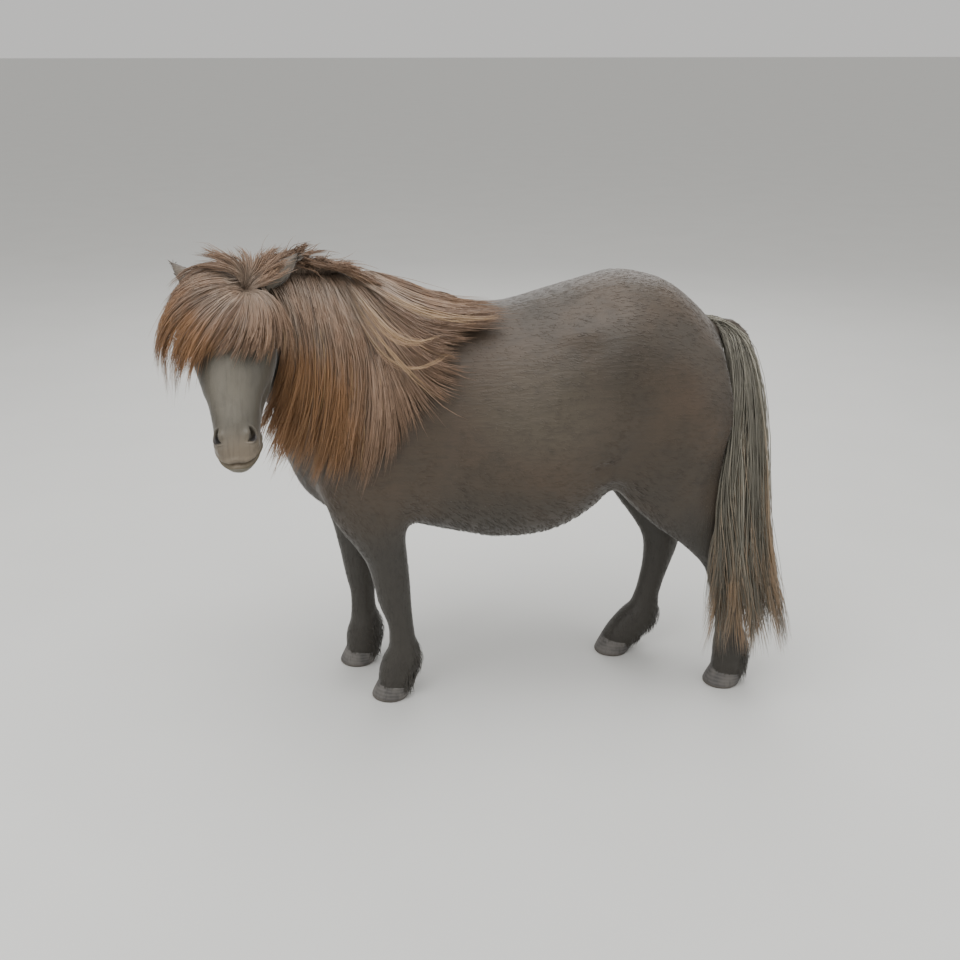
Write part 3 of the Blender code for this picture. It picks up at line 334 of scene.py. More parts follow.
def alone(obj):
    bpy.ops.object.select_all(action="DESELECT")
    obj.select_set(True)
    bpy.context.view_layer.objects.active = obj
    return obj


def applied(obj):
    alone(obj)
    for modifier in list(obj.modifiers):
        bpy.ops.object.modifier_apply(modifier=modifier.name)
    return obj


def joined(parts, name):
    bpy.ops.object.select_all(action="DESELECT")
    for part in parts:
        part.select_set(True)
    bpy.context.view_layer.objects.active = parts[0]
    if len(parts) > 1:
        bpy.ops.object.join()
    parts[0].name = name
    return parts[0]


def coordinates(obj):
    flat = np.empty(len(obj.data.vertices) * 3, np.float32)
    obj.data.vertices.foreach_get("co", flat)
    return flat.reshape(-1, 3).astype(float)


def normals(obj):
    flat = np.empty(len(obj.data.vertices) * 3, np.float32)
    obj.data.vertex_normals.foreach_get("vector", flat)
    return flat.reshape(-1, 3).astype(float)


def moveTo(obj, points):
    obj.data.vertices.foreach_set("co", points.astype(np.float32).reshape(-1))
    obj.data.update()


def treeOf(obj):
    return BVHTree.FromPolygons([v.co for v in obj.data.vertices], [p.vertices for p in obj.data.polygons])


def weighted(obj, name, weights):
    group = obj.vertex_groups.new(name=name)
    for index, weight in enumerate(weights):
        if weight > 0:
            group.add([index], float(weight), "REPLACE")
    return name


def facingOut(obj):
    alone(obj)
    bpy.ops.object.mode_set(mode="EDIT")
    bpy.ops.mesh.select_all(action="SELECT")
    bpy.ops.mesh.normals_make_consistent(inside=False)
    bpy.ops.object.mode_set(mode="OBJECT")
    return obj


def ringBody(name, rings):
    # a circle extruded ring by ring, each ring then put in its place
    rings = np.array(rings)
    bpy.ops.object.select_all(action="DESELECT")
    bpy.ops.mesh.primitive_circle_add(vertices=rings.shape[1], fill_type="NGON")
    body = bpy.context.object
    body.name = name
    bpy.ops.object.mode_set(mode="EDIT")
    bpy.ops.mesh.select_all(action="SELECT")
    for _ in rings[1:]:
        bpy.ops.mesh.extrude_region_move()
    bpy.ops.object.mode_set(mode="OBJECT")
    moveTo(body, rings.reshape(-1, 3))
    return facingOut(body)


def section(halfWidth, halfDepth, egg, square, sides):
    turn = np.linspace(0, 2 * math.pi, sides, endpoint=False)
    across = np.sign(np.cos(turn)) * np.abs(np.cos(turn)) ** (2 / square)
    up = np.sign(np.sin(turn)) * np.abs(np.sin(turn)) ** (2 / square)
    return across * halfWidth * (1 + egg * up), up * halfDepth


def ring(centre, across, up, outline):
    return np.array(centre) + np.outer(outline[0], across) + np.outer(outline[1], up)


def trunkForm():
    rings = []
    for x, top, bottom, wide, egg, square in resampled(shape["trunk"], 48):
        outline = section(wide, (top - bottom) / 2, egg, square, 40)
        rings.append(ring((x, 0, (top + bottom) / 2), (0, 1, 0), (0, 0, 1), outline))
    return ringBody("trunkForm", placed(rings))


def bentForm(name, rows, upright, egg, sides):
    # rows: centre X, Y, Z, half size along the upright, half size across it
    way = unit(np.gradient(rows[:, :3], axis=0))
    up = unit(np.array(upright) - way * (way @ np.array(upright))[:, None])
    across = np.cross(up, way)
    rings = [ring(row[:3], a, u, section(row[4], row[3], egg, 2.1, sides)) for row, a, u in zip(rows, across, up)]
    return ringBody(name, placed(rings))


def legForm(name):
    side, table = legs[name]
    rows = [(x, side * out, z, long, wide) for x, z, long, wide, out in resampled(table, 44)]
    return bentForm(name + "Form", np.array(rows), (1, 0, 0), 0, 28)


def headForm():
    rings = []
    for along, top, bottom, wide, egg, square in resampled(head["rows"], 40):
        outline = section(wide, (top - bottom) / 2, egg, square, 36)
        rings.append(ring((0, along, (top + bottom) / 2), (1, 0, 0), (0, 0, 1), outline))
    made = ringBody("headForm", rings)
    made.data.transform(headFrame)
    return facingOut(made)


def lump(centre, radii):
    bpy.ops.object.select_all(action="DESELECT")
    bpy.ops.mesh.primitive_ico_sphere_add(subdivisions=4, radius=1)
    made = bpy.context.object
    made.data.transform(headFrame @ Matrix.Translation(centre) @ Matrix.Diagonal((*radii, 1)))
    return made


def bothSides(centre):
    return [centre] if centre[0] == 0 else [centre, sided(-1, centre)]


def fusedBody():
    forms = [trunkForm(), bentForm("neckForm", resampled(shape["neck"], 24), (0, 0, 1), -0.12, 32), headForm()]
    forms += [legForm(name) for name in legs]
    forms.append(bentForm("dockForm", resampled(shape["dock"], 20), (1, 0, 0), 0, 16))
    for centre, radii in head["lumps"]:
        forms += [lump(place, radii) for place in bothSides(centre)]
    trees = [treeOf(form) for form in forms]
    body = joined(forms, "skin")
    remesh = body.modifiers.new("fuse", "REMESH")
    remesh.mode = "VOXEL"
    remesh.voxel_size = shape["voxel"]
    applied(body)
    weights = []
    least = shape["filletLeast"]
    for vertex in body.data.vertices:
        near = sorted(tree.find_nearest(vertex.co, 0.2)[3] or 1 for tree in trees)[1]
        share = max(0, 1 - near / shape["filletReach"])
        weights.append(least + (1 - least) * share * share * (3 - 2 * share))
    fillet = body.modifiers.new("fillet", "SMOOTH")
    fillet.vertex_group = weighted(body, "fillet", weights)
    fillet.factor = 0.5
    fillet.iterations = shape["filletTurns"]
    applied(body)
    body.vertex_groups.clear()
    return body


def finer(obj, chosen):
    # splits the chosen faces in four, then eases what was added
    alone(obj)
    polygons = obj.data.polygons
    centres = np.empty(len(polygons) * 3, np.float32)
    polygons.foreach_get("center", centres)
    picked = chosen(centres.reshape(-1, 3).astype(float))
    bpy.ops.object.mode_set(mode="EDIT")
    bpy.ops.mesh.select_mode(type="FACE")
    bpy.ops.mesh.select_all(action="DESELECT")
    bpy.ops.object.mode_set(mode="OBJECT")
    polygons.foreach_set("select", picked)
    bpy.ops.object.mode_set(mode="EDIT")
    bpy.ops.mesh.subdivide(number_cuts=1, smoothness=0)
    bpy.ops.mesh.vertices_smooth(factor=0.5, repeat=3)
    bpy.ops.object.mode_set(mode="OBJECT")


def onHead(points):
    place = inHead(points)
    return (place[:, 1] > -0.08) & (np.linalg.norm(place - (0, 0.5, -0.2), axis=1) < 0.72)


# how far the finer mesh reaches, in shares of headLength
detail = {
    "eye": 0.18,
    "ear": 0.16,
    "muzzleFrom": 0.73,
    "finestEye": 0.105,
    "finestMuzzleFrom": 0.79,
}


def aroundEach(place, centre, reach):
    # round a place of the right side and its mirror image
    mirrored = np.abs(place * (1, 0, 0)) + place * (0, 1, 1)
    return np.linalg.norm(mirrored - centre, axis=1) < reach


def featured(points):
    # round the eyes and ears, and the muzzle
    place = inHead(points)
    eye = aroundEach(place, eyes["at"], detail["eye"])
    ear = aroundEach(place, ears["at"], detail["ear"])
    return onHead(points) & (eye | ear | (place[:, 1] > detail["muzzleFrom"]))


def finest(points):
    # eyelids, nostrils and lips
    place = inHead(points)
    eye = aroundEach(place, eyes["at"], detail["finestEye"])
    front = (place[:, 1] > detail["finestMuzzleFrom"]) & (place[:, 2] > -0.27)
    lips = front & ((place[:, 2] < -0.08) | (np.abs(place[:, 0]) > 0.030))
    return onHead(points) & (lips | eye)


def raised(points, outward, centre, radii, height):
    # how far each point moves for one soft swelling
    away = np.linalg.norm((points - centre) / np.array(radii), axis=1)
    share = np.clip(1 - away, 0, 1)
    return outward * (height * share * share * (3 - 2 * share))[:, None]


def lookFrame(side):
    turn = headTurn()
    look = (turn @ Vector(sided(side, eyes["look"]))).normalized()
    nose = turn @ Vector((0, 1, eyes["slant"]))
    ahead = (nose - look * nose.dot(look)).normalized()
    up = look.cross(ahead)
    if up.dot(turn @ Vector((0, 0, 1))) < 0:
        up = -up
    centre = headFrame @ Vector(sided(side, eyes["at"]))
    made = Matrix((ahead, up, look)).transposed().to_4x4()
    made.translation = centre
    return made


def smooth(low, high, value):
    share = np.clip((value - low) / (high - low), 0, 1)
    return share * share * (3 - 2 * share)


def setLids(points):
    # lids that lie on the ball, with a rim and a crease above it
    for side in (-1, 1):
        turn = np.array(lookFrame(side))
        local = (points - turn[:3, 3]) @ turn[:3, :3]
        u, v, w = local.T
        halfLong, halfHigh = eyes["opening"]
        reach = np.hypot(u, v)
        bend = v - eyes["lidBow"] * (1 - (u / halfLong) ** 2)
        edge = np.hypot(u / halfLong, bend / halfHigh)
        lid = eyes["lidRadius"]
        shell = np.sqrt(np.maximum(lid**2 - reach**2, 0))
        lidRim = eyes["lidRim"] * np.exp(-(((edge - 1.15) / 0.16) ** 2))
        lidCrease = eyes["lidCrease"] * np.exp(-(((edge - 1.75) / 0.18) ** 2))
        shell += lidRim - lidCrease
        inside = np.sqrt(np.maximum(eyes["radius"] ** 2 - reach**2, 0)) - eyes["sunk"]
        lidded = np.where(reach < lid, np.maximum(w, shell), w)
        near = (w > -0.012) & (reach < 1.7 * lid)
        ease = 1 - smooth(0.80 * lid, 1.15 * lid, reach)
        height = np.where(edge < 1, inside, w + (lidded - w) * ease)
        height = np.where(near, height, w)
        points += (height - w)[:, None] * turn[:3, 2]
    return points


def setMuzzle(points, outward):
    # crescent nostrils round a soft inner fold, lips and the line of the mouth
    size = shape["headLength"]
    place = inHead(points)
    turn = np.array(headTurn())
    for side in (-1, 1):
        centre = np.array(sided(side, muzzle["nostril"]))
        out = unit(np.array(sided(side, muzzle["nostrilOut"])))
        along = np.array(sided(side, muzzle["nostrilAlong"]))
        along = unit(along - out * (along @ out))
        aside = np.cross(out, along)
        aside = aside * np.sign(aside[0] * side)
        local = (place - centre) * size
        p, q, r = local @ along, local @ aside, local @ out
        halfLong, halfWide = muzzle["nostrilSize"]
        middle = muzzle["nostrilBend"] * (1 - (p / halfLong) ** 2)
        edge = np.hypot(p / halfLong, (q - middle) / halfWide)
        near = (np.abs(r) < 0.024) & (np.hypot(p, q) < 0.034)
        hole = muzzle["nostrilDepth"] * (1 - smooth(0.50, 1.10, edge))
        rim = muzzle["nostrilRim"] * np.exp(-(((edge - 1.55) / 0.45) ** 2))
        rim = rim * smooth(1.35, 0.95, np.abs(p) / halfLong)
        rim = rim * smooth(-0.003, 0.001, q - middle)
        fold = muzzle["nostrilFold"] * np.exp(-((p / 0.0085) ** 2 + ((q + 0.0040) / 0.0060) ** 2))
        points -= (hole * near)[:, None] * (turn @ out)
        points += outward * ((rim + fold) * near)[:, None]
    front = smooth(muzzle["mouthCorner"] - 0.03, muzzle["mouthCorner"] + 0.02, place[:, 1])
    line = muzzle["mouth"] + muzzle["mouthFall"] * (place[:, 1] - muzzle["lipsAt"])
    line = line + 0.012 * smooth(0.05, 0.0, np.abs(place[:, 0]))
    gap = (place[:, 2] - line) * size
    crease = muzzle["mouthDepth"] * np.exp(-((gap / 0.0026) ** 2))
    lips = muzzle["lipHeight"] * np.exp(-(((np.abs(gap) - muzzle["lipApart"]) / 0.0050) ** 2))
    points += outward * ((lips - crease) * front)[:, None]
    return points


def earForm(side):
    base = headFrame @ Vector(sided(side, ears["at"]))
    way = Vector(ears["ways"][side]).normalized()
    face = Vector(ears["faces"][side])
    face = (face - way * face.dot(way)).normalized()
    across = np.array(way.cross(face))
    way, face, base = np.array(way), np.array(face), np.array(base)
    length = ears["length"]
    rings = []
    for share, radius, opening, bend in resampled(ears["rows"], 22):
        centre = base + way * share * length + face * bend * length
        half = math.pi * (1 - opening)
        arc = np.linspace(-half, half, ears["sides"])
        inner = max(radius * length - ears["wall"] * (1 - 0.5 * share), 0.3 * radius * length)
        outline = [(math.sin(t) * radius * length, -math.cos(t) * radius * length) for t in arc]
        outline += [(math.sin(t) * inner, -math.cos(t) * inner) for t in arc[::-1]]
        rings.append([centre + across * a + face * b for a, b in outline])
    return ringBody("earForm", rings)


def makeSkin():
    body = fusedBody()
    print("skin fused", len(body.data.polygons))
    finer(body, onHead)
    finer(body, featured)
    finer(body, finest)
    points = coordinates(body)
    outward = normals(body)
    for (x, out, z), radii, height in muscles:
        for side in (-1, 1):
            points += raised(points, outward, placed((x, side * out, z)), radii, height)
    place = inHead(points)
    for centre, radii, height in head["forms"]:
        for spot in bothSides(centre):
            points += raised(place, outward, np.array(spot), radii, height)
    points -= outward * shape["coatDepth"]
    points[:, 2] = np.maximum(points[:, 2], shape["lowest"])
    moveTo(body, points)
    points = setMuzzle(coordinates(body), normals(body))
    moveTo(body, setLids(points))
    for side in (-1, 1):
        ear = earForm(side)
        union = body.modifiers.new("ear", "BOOLEAN")
        union.operation = "UNION"
        union.solver = "MANIFOLD"
        union.object = ear
        applied(body)
        bpy.data.objects.remove(ear)
    seam = []
    points = coordinates(body)
    place = inHead(points)
    for side in (-1, 1):
        base = np.array(sided(side, ears["at"]))
        seam.append(1 - smooth(0.05, 0.12, np.linalg.norm(place - base, axis=1)))
    eased = body.modifiers.new("ease", "SMOOTH")
    eased.vertex_group = weighted(body, "seam", np.maximum(*seam))
    eased.factor = 0.5
    eased.iterations = 6
    applied(body)
    body.vertex_groups.clear()
    alone(body)
    bpy.ops.object.shade_smooth()
    print("skin done", len(body.data.polygons))
    return body


# Hair. Lines run from root to tip, and the hair is spread evenly between neighbours.
mane = {
    # shares of croup
    "near": [
        [(-0.560, -0.135, 1.010), (-0.541, -0.165, 1.008), (-0.508, -0.185, 0.970), (-0.498, -0.190, 0.916),
         (-0.510, -0.190, 0.848), (-0.535, -0.190, 0.777), (-0.560, -0.190, 0.717), (-0.579, -0.190, 0.669)],
        [(-0.519, -0.095, 1.009), (-0.513, -0.125, 1.013), (-0.481, -0.165, 0.957), (-0.471, -0.180, 0.882),
         (-0.481, -0.185, 0.810), (-0.507, -0.190, 0.737), (-0.533, -0.190, 0.681), (-0.553, -0.190, 0.637)],
        [(-0.491, -0.045, 1.007), (-0.485, -0.095, 1.011), (-0.453, -0.145, 0.943), (-0.444, -0.170, 0.868),
         (-0.452, -0.180, 0.793), (-0.472, -0.185, 0.717), (-0.498, -0.190, 0.653), (-0.521, -0.190, 0.613)],
        [(-0.466, -0.020, 1.008), (-0.460, -0.070, 1.012), (-0.420, -0.130, 0.943), (-0.408, -0.160, 0.871),
         (-0.409, -0.178, 0.795), (-0.427, -0.190, 0.709), (-0.449, -0.195, 0.636), (-0.473, -0.195, 0.587)],
        [(-0.440, 0.000, 1.009), (-0.440, -0.050, 1.013), (-0.392, -0.115, 0.947), (-0.369, -0.150, 0.886),
         (-0.361, -0.175, 0.810), (-0.369, -0.190, 0.720), (-0.391, -0.198, 0.630), (-0.414, -0.198, 0.577)],
        [(-0.422, 0.015, 1.010), (-0.422, -0.035, 1.014), (-0.357, -0.100, 0.939), (-0.328, -0.150, 0.871),
         (-0.316, -0.178, 0.797), (-0.317, -0.195, 0.716), (-0.336, -0.200, 0.639), (-0.366, -0.200, 0.571)],
        [(-0.404, 0.025, 1.010), (-0.404, -0.025, 1.014), (-0.347, -0.090, 0.955), (-0.303, -0.135, 0.896),
         (-0.264, -0.165, 0.844), (-0.218, -0.185, 0.801), (-0.175, -0.195, 0.778), (-0.142, -0.200, 0.778)],
        [(-0.388, 0.030, 1.007), (-0.388, -0.020, 1.011), (-0.332, -0.070, 0.961), (-0.283, -0.110, 0.927),
         (-0.239, -0.140, 0.902), (-0.196, -0.158, 0.888), (-0.158, -0.168, 0.888), (-0.118, -0.172, 0.900)],
        [(-0.371, 0.035, 1.003), (-0.371, -0.015, 1.007), (-0.313, -0.045, 0.964), (-0.260, -0.075, 0.938),
         (-0.206, -0.100, 0.923), (-0.148, -0.115, 0.922), (-0.085, -0.122, 0.926), (-0.018, -0.125, 0.930)],
        [(-0.354, 0.040, 1.004), (-0.354, -0.010, 1.008), (-0.299, -0.020, 0.997), (-0.249, -0.030, 0.976),
         (-0.194, -0.035, 0.951), (-0.141, -0.040, 0.940), (-0.079, -0.040, 0.939), (-0.019, -0.040, 0.949)],
    ],
    "crest": [
        [(-0.575, -0.145, 1.012), (-0.580, -0.135, 1.030), (-0.566, -0.125, 1.044), (-0.540, -0.118, 1.048),
         (-0.512, -0.112, 1.040)],
        [(-0.520, -0.100, 1.010), (-0.522, -0.098, 1.034), (-0.505, -0.098, 1.052), (-0.478, -0.096, 1.060),
         (-0.450, -0.094, 1.056)],
        [(-0.470, -0.070, 1.005), (-0.465, -0.075, 1.030), (-0.447, -0.080, 1.045), (-0.423, -0.085, 1.048),
         (-0.390, -0.090, 1.036)],
        [(-0.420, -0.030, 1.000), (-0.395, -0.040, 1.018), (-0.355, -0.055, 1.010), (-0.315, -0.065, 0.990),
         (-0.270, -0.070, 0.968)],
    ],
    "far": [
        [(-0.612, -0.205, 1.020), (-0.606, -0.130, 1.030), (-0.606, -0.070, 0.960), (-0.612, -0.040, 0.870),
         (-0.618, -0.030, 0.790)],
        [(-0.575, -0.175, 1.012), (-0.556, -0.080, 1.010), (-0.542, -0.010, 0.920), (-0.536, 0.030, 0.810),
         (-0.545, 0.045, 0.700)],
        [(-0.510, -0.130, 1.006), (-0.478, -0.010, 0.985), (-0.450, 0.060, 0.880), (-0.440, 0.100, 0.770),
         (-0.442, 0.115, 0.660)],
        [(-0.445, -0.080, 0.998), (-0.405, 0.040, 0.960), (-0.380, 0.115, 0.860), (-0.372, 0.145, 0.760),
         (-0.376, 0.165, 0.655)],
        [(-0.330, -0.055, 0.968), (-0.290, 0.045, 0.945), (-0.255, 0.130, 0.870), (-0.238, 0.170, 0.780),
         (-0.225, 0.195, 0.690)],
        [(-0.250, -0.050, 0.952), (-0.205, 0.010, 0.950), (-0.155, 0.080, 0.925), (-0.112, 0.125, 0.895),
         (-0.070, 0.150, 0.860)],
    ],
    # each piece: which lines, and from guide, to guide, locks, strands in each
    "pieces": {
        "maneFront": ("near", [(0.0, 3.1, 84, 38)]),
        "maneMiddle": ("near", [(2.9, 5.3, 70, 38), (5.0, 6.2, 20, 26)]),
        "maneSwept": ("near", [(6.0, 8.2, 40, 30), (7.6, 9.0, 34, 30)]),
        "maneCrest": ("crest", [(0.0, 3.0, 46, 26)]),
        "maneFar": ("far", [(0.0, 5.0, 86, 28)]),
    },
    "lift": 0.030,
    "farLift": 0.015,
    "width": 0.0022,
    "sway": 0.009,
    "wave": 0.0055,
    "steps": 11,
    "ragged": 0.24,
    "pale": 0.0,
}

forelock = {
    # shares of headLength, in the head's own frame
    "lines": [
        [(-0.125, 0.094, 0.045), (-0.200, 0.147, 0.069), (-0.258, 0.219, 0.044), (-0.284, 0.297, -0.005),
         (-0.285, 0.374, -0.063), (-0.265, 0.448, -0.120)],
        [(-0.120, 0.099, 0.045), (-0.176, 0.171, 0.075), (-0.217, 0.258, 0.069), (-0.214, 0.350, 0.040),
         (-0.190, 0.441, 0.021), (-0.163, 0.531, -0.000)],
        [(-0.115, 0.104, 0.045), (-0.151, 0.186, 0.079), (-0.177, 0.278, 0.084), (-0.175, 0.372, 0.073),
         (-0.151, 0.463, 0.062), (-0.118, 0.552, 0.050)],
        [(-0.110, 0.109, 0.045), (-0.118, 0.195, 0.079), (-0.126, 0.286, 0.088), (-0.114, 0.376, 0.086),
         (-0.085, 0.462, 0.077), (-0.040, 0.542, 0.065)],
        [(-0.105, 0.109, 0.045), (-0.094, 0.196, 0.080), (-0.080, 0.288, 0.089), (-0.048, 0.376, 0.086),
         (-0.001, 0.456, 0.072), (0.056, 0.531, 0.060)],
        [(-0.105, 0.109, 0.045), (-0.077, 0.190, 0.081), (-0.038, 0.275, 0.090), (0.011, 0.355, 0.086),
         (0.061, 0.433, 0.073), (0.110, 0.510, 0.050)],
        [(-0.100, 0.109, 0.045), (-0.039, 0.201, 0.085), (0.031, 0.297, 0.093), (0.092, 0.395, 0.084),
         (0.140, 0.491, 0.060), (0.175, 0.590, 0.010)],
        [(-0.096, 0.097, 0.045), (-0.005, 0.180, 0.094), (0.085, 0.275, 0.098), (0.165, 0.380, 0.072),
         (0.225, 0.495, 0.025), (0.240, 0.640, -0.040)],
        [(-0.096, 0.086, 0.045), (0.010, 0.150, 0.100), (0.125, 0.212, 0.102), (0.235, 0.298, 0.070),
         (0.300, 0.435, 0.005), (0.290, 0.640, -0.070)],
        [(-0.104, 0.067, 0.050), (0.040, 0.100, 0.118), (0.200, 0.130, 0.096), (0.325, 0.225, 0.020),
         (0.368, 0.375, -0.045), (0.340, 0.570, -0.110)],
        [(-0.050, -0.030, 0.000), (0.015, -0.042, 0.048), (0.085, -0.044, 0.076), (0.164, -0.026, 0.064),
         (0.230, 0.008, 0.036), (0.290, 0.050, 0.000)],
    ],
    "spread": [(0.0, 2.5, 30, 30), (2.5, 6.0, 30, 28), (6.0, 9.1, 52, 32), (9.0, 10.0, 14, 22)],
    # wisps that the wind lifts off the poll, over the ears' roots
    "poll": [
        [(-0.120, 0.110, 0.035), (-0.170, 0.115, 0.060), (-0.215, 0.095, 0.060), (-0.250, 0.062, 0.052),
         (-0.278, 0.026, 0.040)],
        [(-0.112, 0.085, 0.030), (-0.163, 0.074, 0.058), (-0.212, 0.046, 0.064), (-0.258, 0.010, 0.058),
         (-0.292, -0.036, 0.044)],
        [(-0.112, 0.074, 0.040), (-0.155, 0.046, 0.078), (-0.200, 0.006, 0.092), (-0.252, -0.044, 0.092),
         (-0.302, -0.104, 0.076)],
        [(-0.102, 0.066, 0.040), (-0.089, 0.020, 0.095), (-0.056, -0.024, 0.120), (0.005, -0.072, 0.115),
         (0.089, -0.115, 0.090)],
        [(-0.100, 0.067, 0.040), (-0.062, 0.032, 0.095), (0.003, -0.006, 0.120), (0.093, -0.052, 0.105),
         (0.210, -0.084, 0.060)],
        [(-0.095, 0.070, 0.040), (-0.042, 0.048, 0.090), (0.039, 0.018, 0.105), (0.137, -0.009, 0.080),
         (0.246, -0.017, 0.030)],
    ],
    "pollSpread": [(0.0, 2.2, 24, 24), (2.2, 5.0, 20, 20)],
    "lift": 0.016,
    "width": 0.0018,
    "sway": 0.006,
    "wave": 0.0035,
    "steps": 9,
    "ragged": 0.30,
    "pale": 0.0,
}

# how strands gather in locks, in mane and forelock alike
locksOfHair = {
    "deepShorter": 0.16,
    "uneven": 0.12,
    "pinch": (0.45, 0.85),
    "curl": (0.4, 1.0),
    "apart": 0.20,
    "wildShare": 0.10,
    "wildSway": 1.6,
    "tameSway": 0.32,
    "rootScatter": 0.006,
}

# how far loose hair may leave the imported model's own box
looseHair = {
    "aside": 0.044,
    "above": 0.036,
}

# single pale locks blown back over the shoulder
strays = {
    # shares of croup
    "lines": [
        [(-0.400, -0.020, 1.010), (-0.360, -0.130, 0.958), (-0.315, -0.200, 0.905), (-0.240, -0.222, 0.822),
         (-0.149, -0.228, 0.786)],
        [(-0.410, -0.020, 1.010), (-0.362, -0.140, 0.930), (-0.306, -0.206, 0.862), (-0.238, -0.215, 0.843),
         (-0.157, -0.205, 0.894)],
        [(-0.400, -0.020, 1.010), (-0.348, -0.155, 0.968), (-0.287, -0.198, 0.906), (-0.225, -0.200, 0.900),
         (-0.176, -0.190, 0.929)],
        [(-0.380, -0.010, 1.010), (-0.300, -0.110, 0.978), (-0.205, -0.152, 0.942), (-0.115, -0.165, 0.936),
         (-0.047, -0.165, 0.946)],
    ],
    "spread": [(0.0, 0.05, 1, 14), (0.98, 1.02, 1, 12), (1.95, 2.05, 2, 14), (2.85, 3.0, 3, 14)],
    "lift": 0.034,
    "width": 0.0019,
    "sway": 0.005,
    "wave": 0.0040,
    "steps": 11,
    "ragged": 0.35,
    "pale": 0.86,
}

tail = {
    # centre X, Y, Z, half length, half width
    "rows": [
        (0.400, 0.000, 0.888, 0.022, 0.036),
        (0.440, -0.010, 0.893, 0.030, 0.042),
        (0.472, -0.040, 0.845, 0.044, 0.050),
        (0.468, -0.082, 0.745, 0.054, 0.062),
        (0.466, -0.112, 0.640, 0.058, 0.060),
        (0.470, -0.136, 0.520, 0.064, 0.056),
        (0.480, -0.152, 0.410, 0.068, 0.050),
        (0.492, -0.164, 0.310, 0.082, 0.044),
        (0.504, -0.170, 0.220, 0.102, 0.036),
        (0.514, -0.170, 0.130, 0.120, 0.026),
    ],
    "fineRows": 80,
    "locks": 92,
    "strands": 32,
    "width": 0.0022,
    "clear": 0.006,
    "lowest": 0.012,
    "startSpread": 26,      # in fine rows
    "endSpread": 30,
    "sway": 0.011,
    "wildShare": 0.08,
    "wildSway": 0.014,
    "tameSway": 0.004,
    "loose": 0.30,
    "full": 0.92,
    "wave": 0.011,
    "steps": 12,
}

coat = {
    # how many tufts
    "trunk": 17000,
    "neck": 3500,
    "legs": 11000,
    "head": 9000,
    "patch": 0.003,         # side of each tuft's place on the OFBake map
    "lowest": 0.0045,
    # each: length, width, rise
    "bodyTuft": (0.015, 0.0027, 0.00032),
    "bellyMore": (0.010, 0.0005, 0.0013),
    "legTuft": (0.011, 0.0020, 0.0005),
    "featherMore": (0.024, 0.0004, 0.0042),
    "coronetLonger": 0.006,
    "headTuft": (0.0062, 0.0013, 0.0002),
}

draw = np.random.default_rng(23)


def tubes(name, paths, lay, width, tone, rootUv, flat=0.45, crisp=False):
    # one joined mesh of three-sided strands that taper to a point. paths: strands, steps, 3
    count, steps = paths.shape[:2]
    way = unit(np.gradient(paths, axis=1))
    side = unit(np.cross(way, lay))
    up = np.cross(side, way)
    along = np.linspace(0, 1, steps)
    taper = np.minimum(1, 0.55 + 1.6 * along) * (1 - 0.82 * along**3)
    half = width[:, None] * taper[None, :] / 2
    corners = np.stack([
        paths - side * half[..., None],
        paths + side * half[..., None],
        paths + up * (2 * flat * half)[..., None],
    ], axis=2)
    body = corners[:, :-1].reshape(count, -1, 3)
    points = np.concatenate([body, paths[:, -1:]], axis=1)
    each = (steps - 1) * 3 + 1
    faces = [(0, 2, 1)]
    for k in range(steps - 2):
        for i in range(3):
            j = (i + 1) % 3
            a, b, c, d = 3 * k + i, 3 * k + j, 3 * k + 3 + j, 3 * k + 3 + i
            faces += [(a, b, c), (a, c, d)]
    last = 3 * (steps - 2)
    faces += [(last + i, last + (i + 1) % 3, each - 1) for i in range(3)]
    everything = (np.array(faces)[None] + (np.arange(count) * each)[:, None, None]).reshape(-1, 3)
    mesh = bpy.data.meshes.new(name)
    mesh.vertices.add(count * each)
    mesh.vertices.foreach_set("co", points.astype(np.float32).reshape(-1))
    mesh.loops.add(len(everything) * 3)
    mesh.loops.foreach_set("vertex_index", everything.astype(np.int32).reshape(-1))
    mesh.polygons.add(len(everything))
    mesh.polygons.foreach_set("loop_start", np.arange(0, len(everything) * 3, 3, dtype=np.int32))
    mesh.update(calc_edges=True)
    steady = np.concatenate([np.repeat(along[:-1], 3), [1.0]])
    lengthwise = mesh.attributes.new("along", "FLOAT", "POINT")
    lengthwise.data.foreach_set("value", np.tile(steady, count).astype(np.float32))
    shade = mesh.attributes.new("tone", "FLOAT", "POINT")
    shade.data.foreach_set("value", np.repeat(tone, each).astype(np.float32))
    sideways = np.concatenate([np.tile([0, 0.5, 1], steps - 1), [0.5]])
    patch = np.stack([sideways, steady], axis=1) * coat["patch"]
    uv = (rootUv[:, None] + patch[None]).reshape(-1, 2)[everything.reshape(-1)]
    layer = mesh.uv_layers.new(name="OFBake")
    layer.data.foreach_set("uv", uv.astype(np.float32).reshape(-1))
    made = bpy.data.objects.new(name, mesh)
    bpy.context.scene.collection.objects.link(made)
    alone(made)
    bpy.ops.object.shade_smooth()
    if crisp:
        # the two rims of a flat tuft stay sharp, so that its top shades like the skin below
        ends = np.empty(len(mesh.edges) * 2, np.int32)
        mesh.edges.foreach_get("vertices", ends)
        corner = ends.reshape(-1, 2) % each
        rail = np.where(corner == each - 1, -1, corner % 3)
        rim = (rail != 2).all(axis=1) & ((rail[:, 0] == rail[:, 1]) | (rail == -1).any(axis=1))
        mesh.edges.foreach_set("use_edge_sharp", rim)
    return made


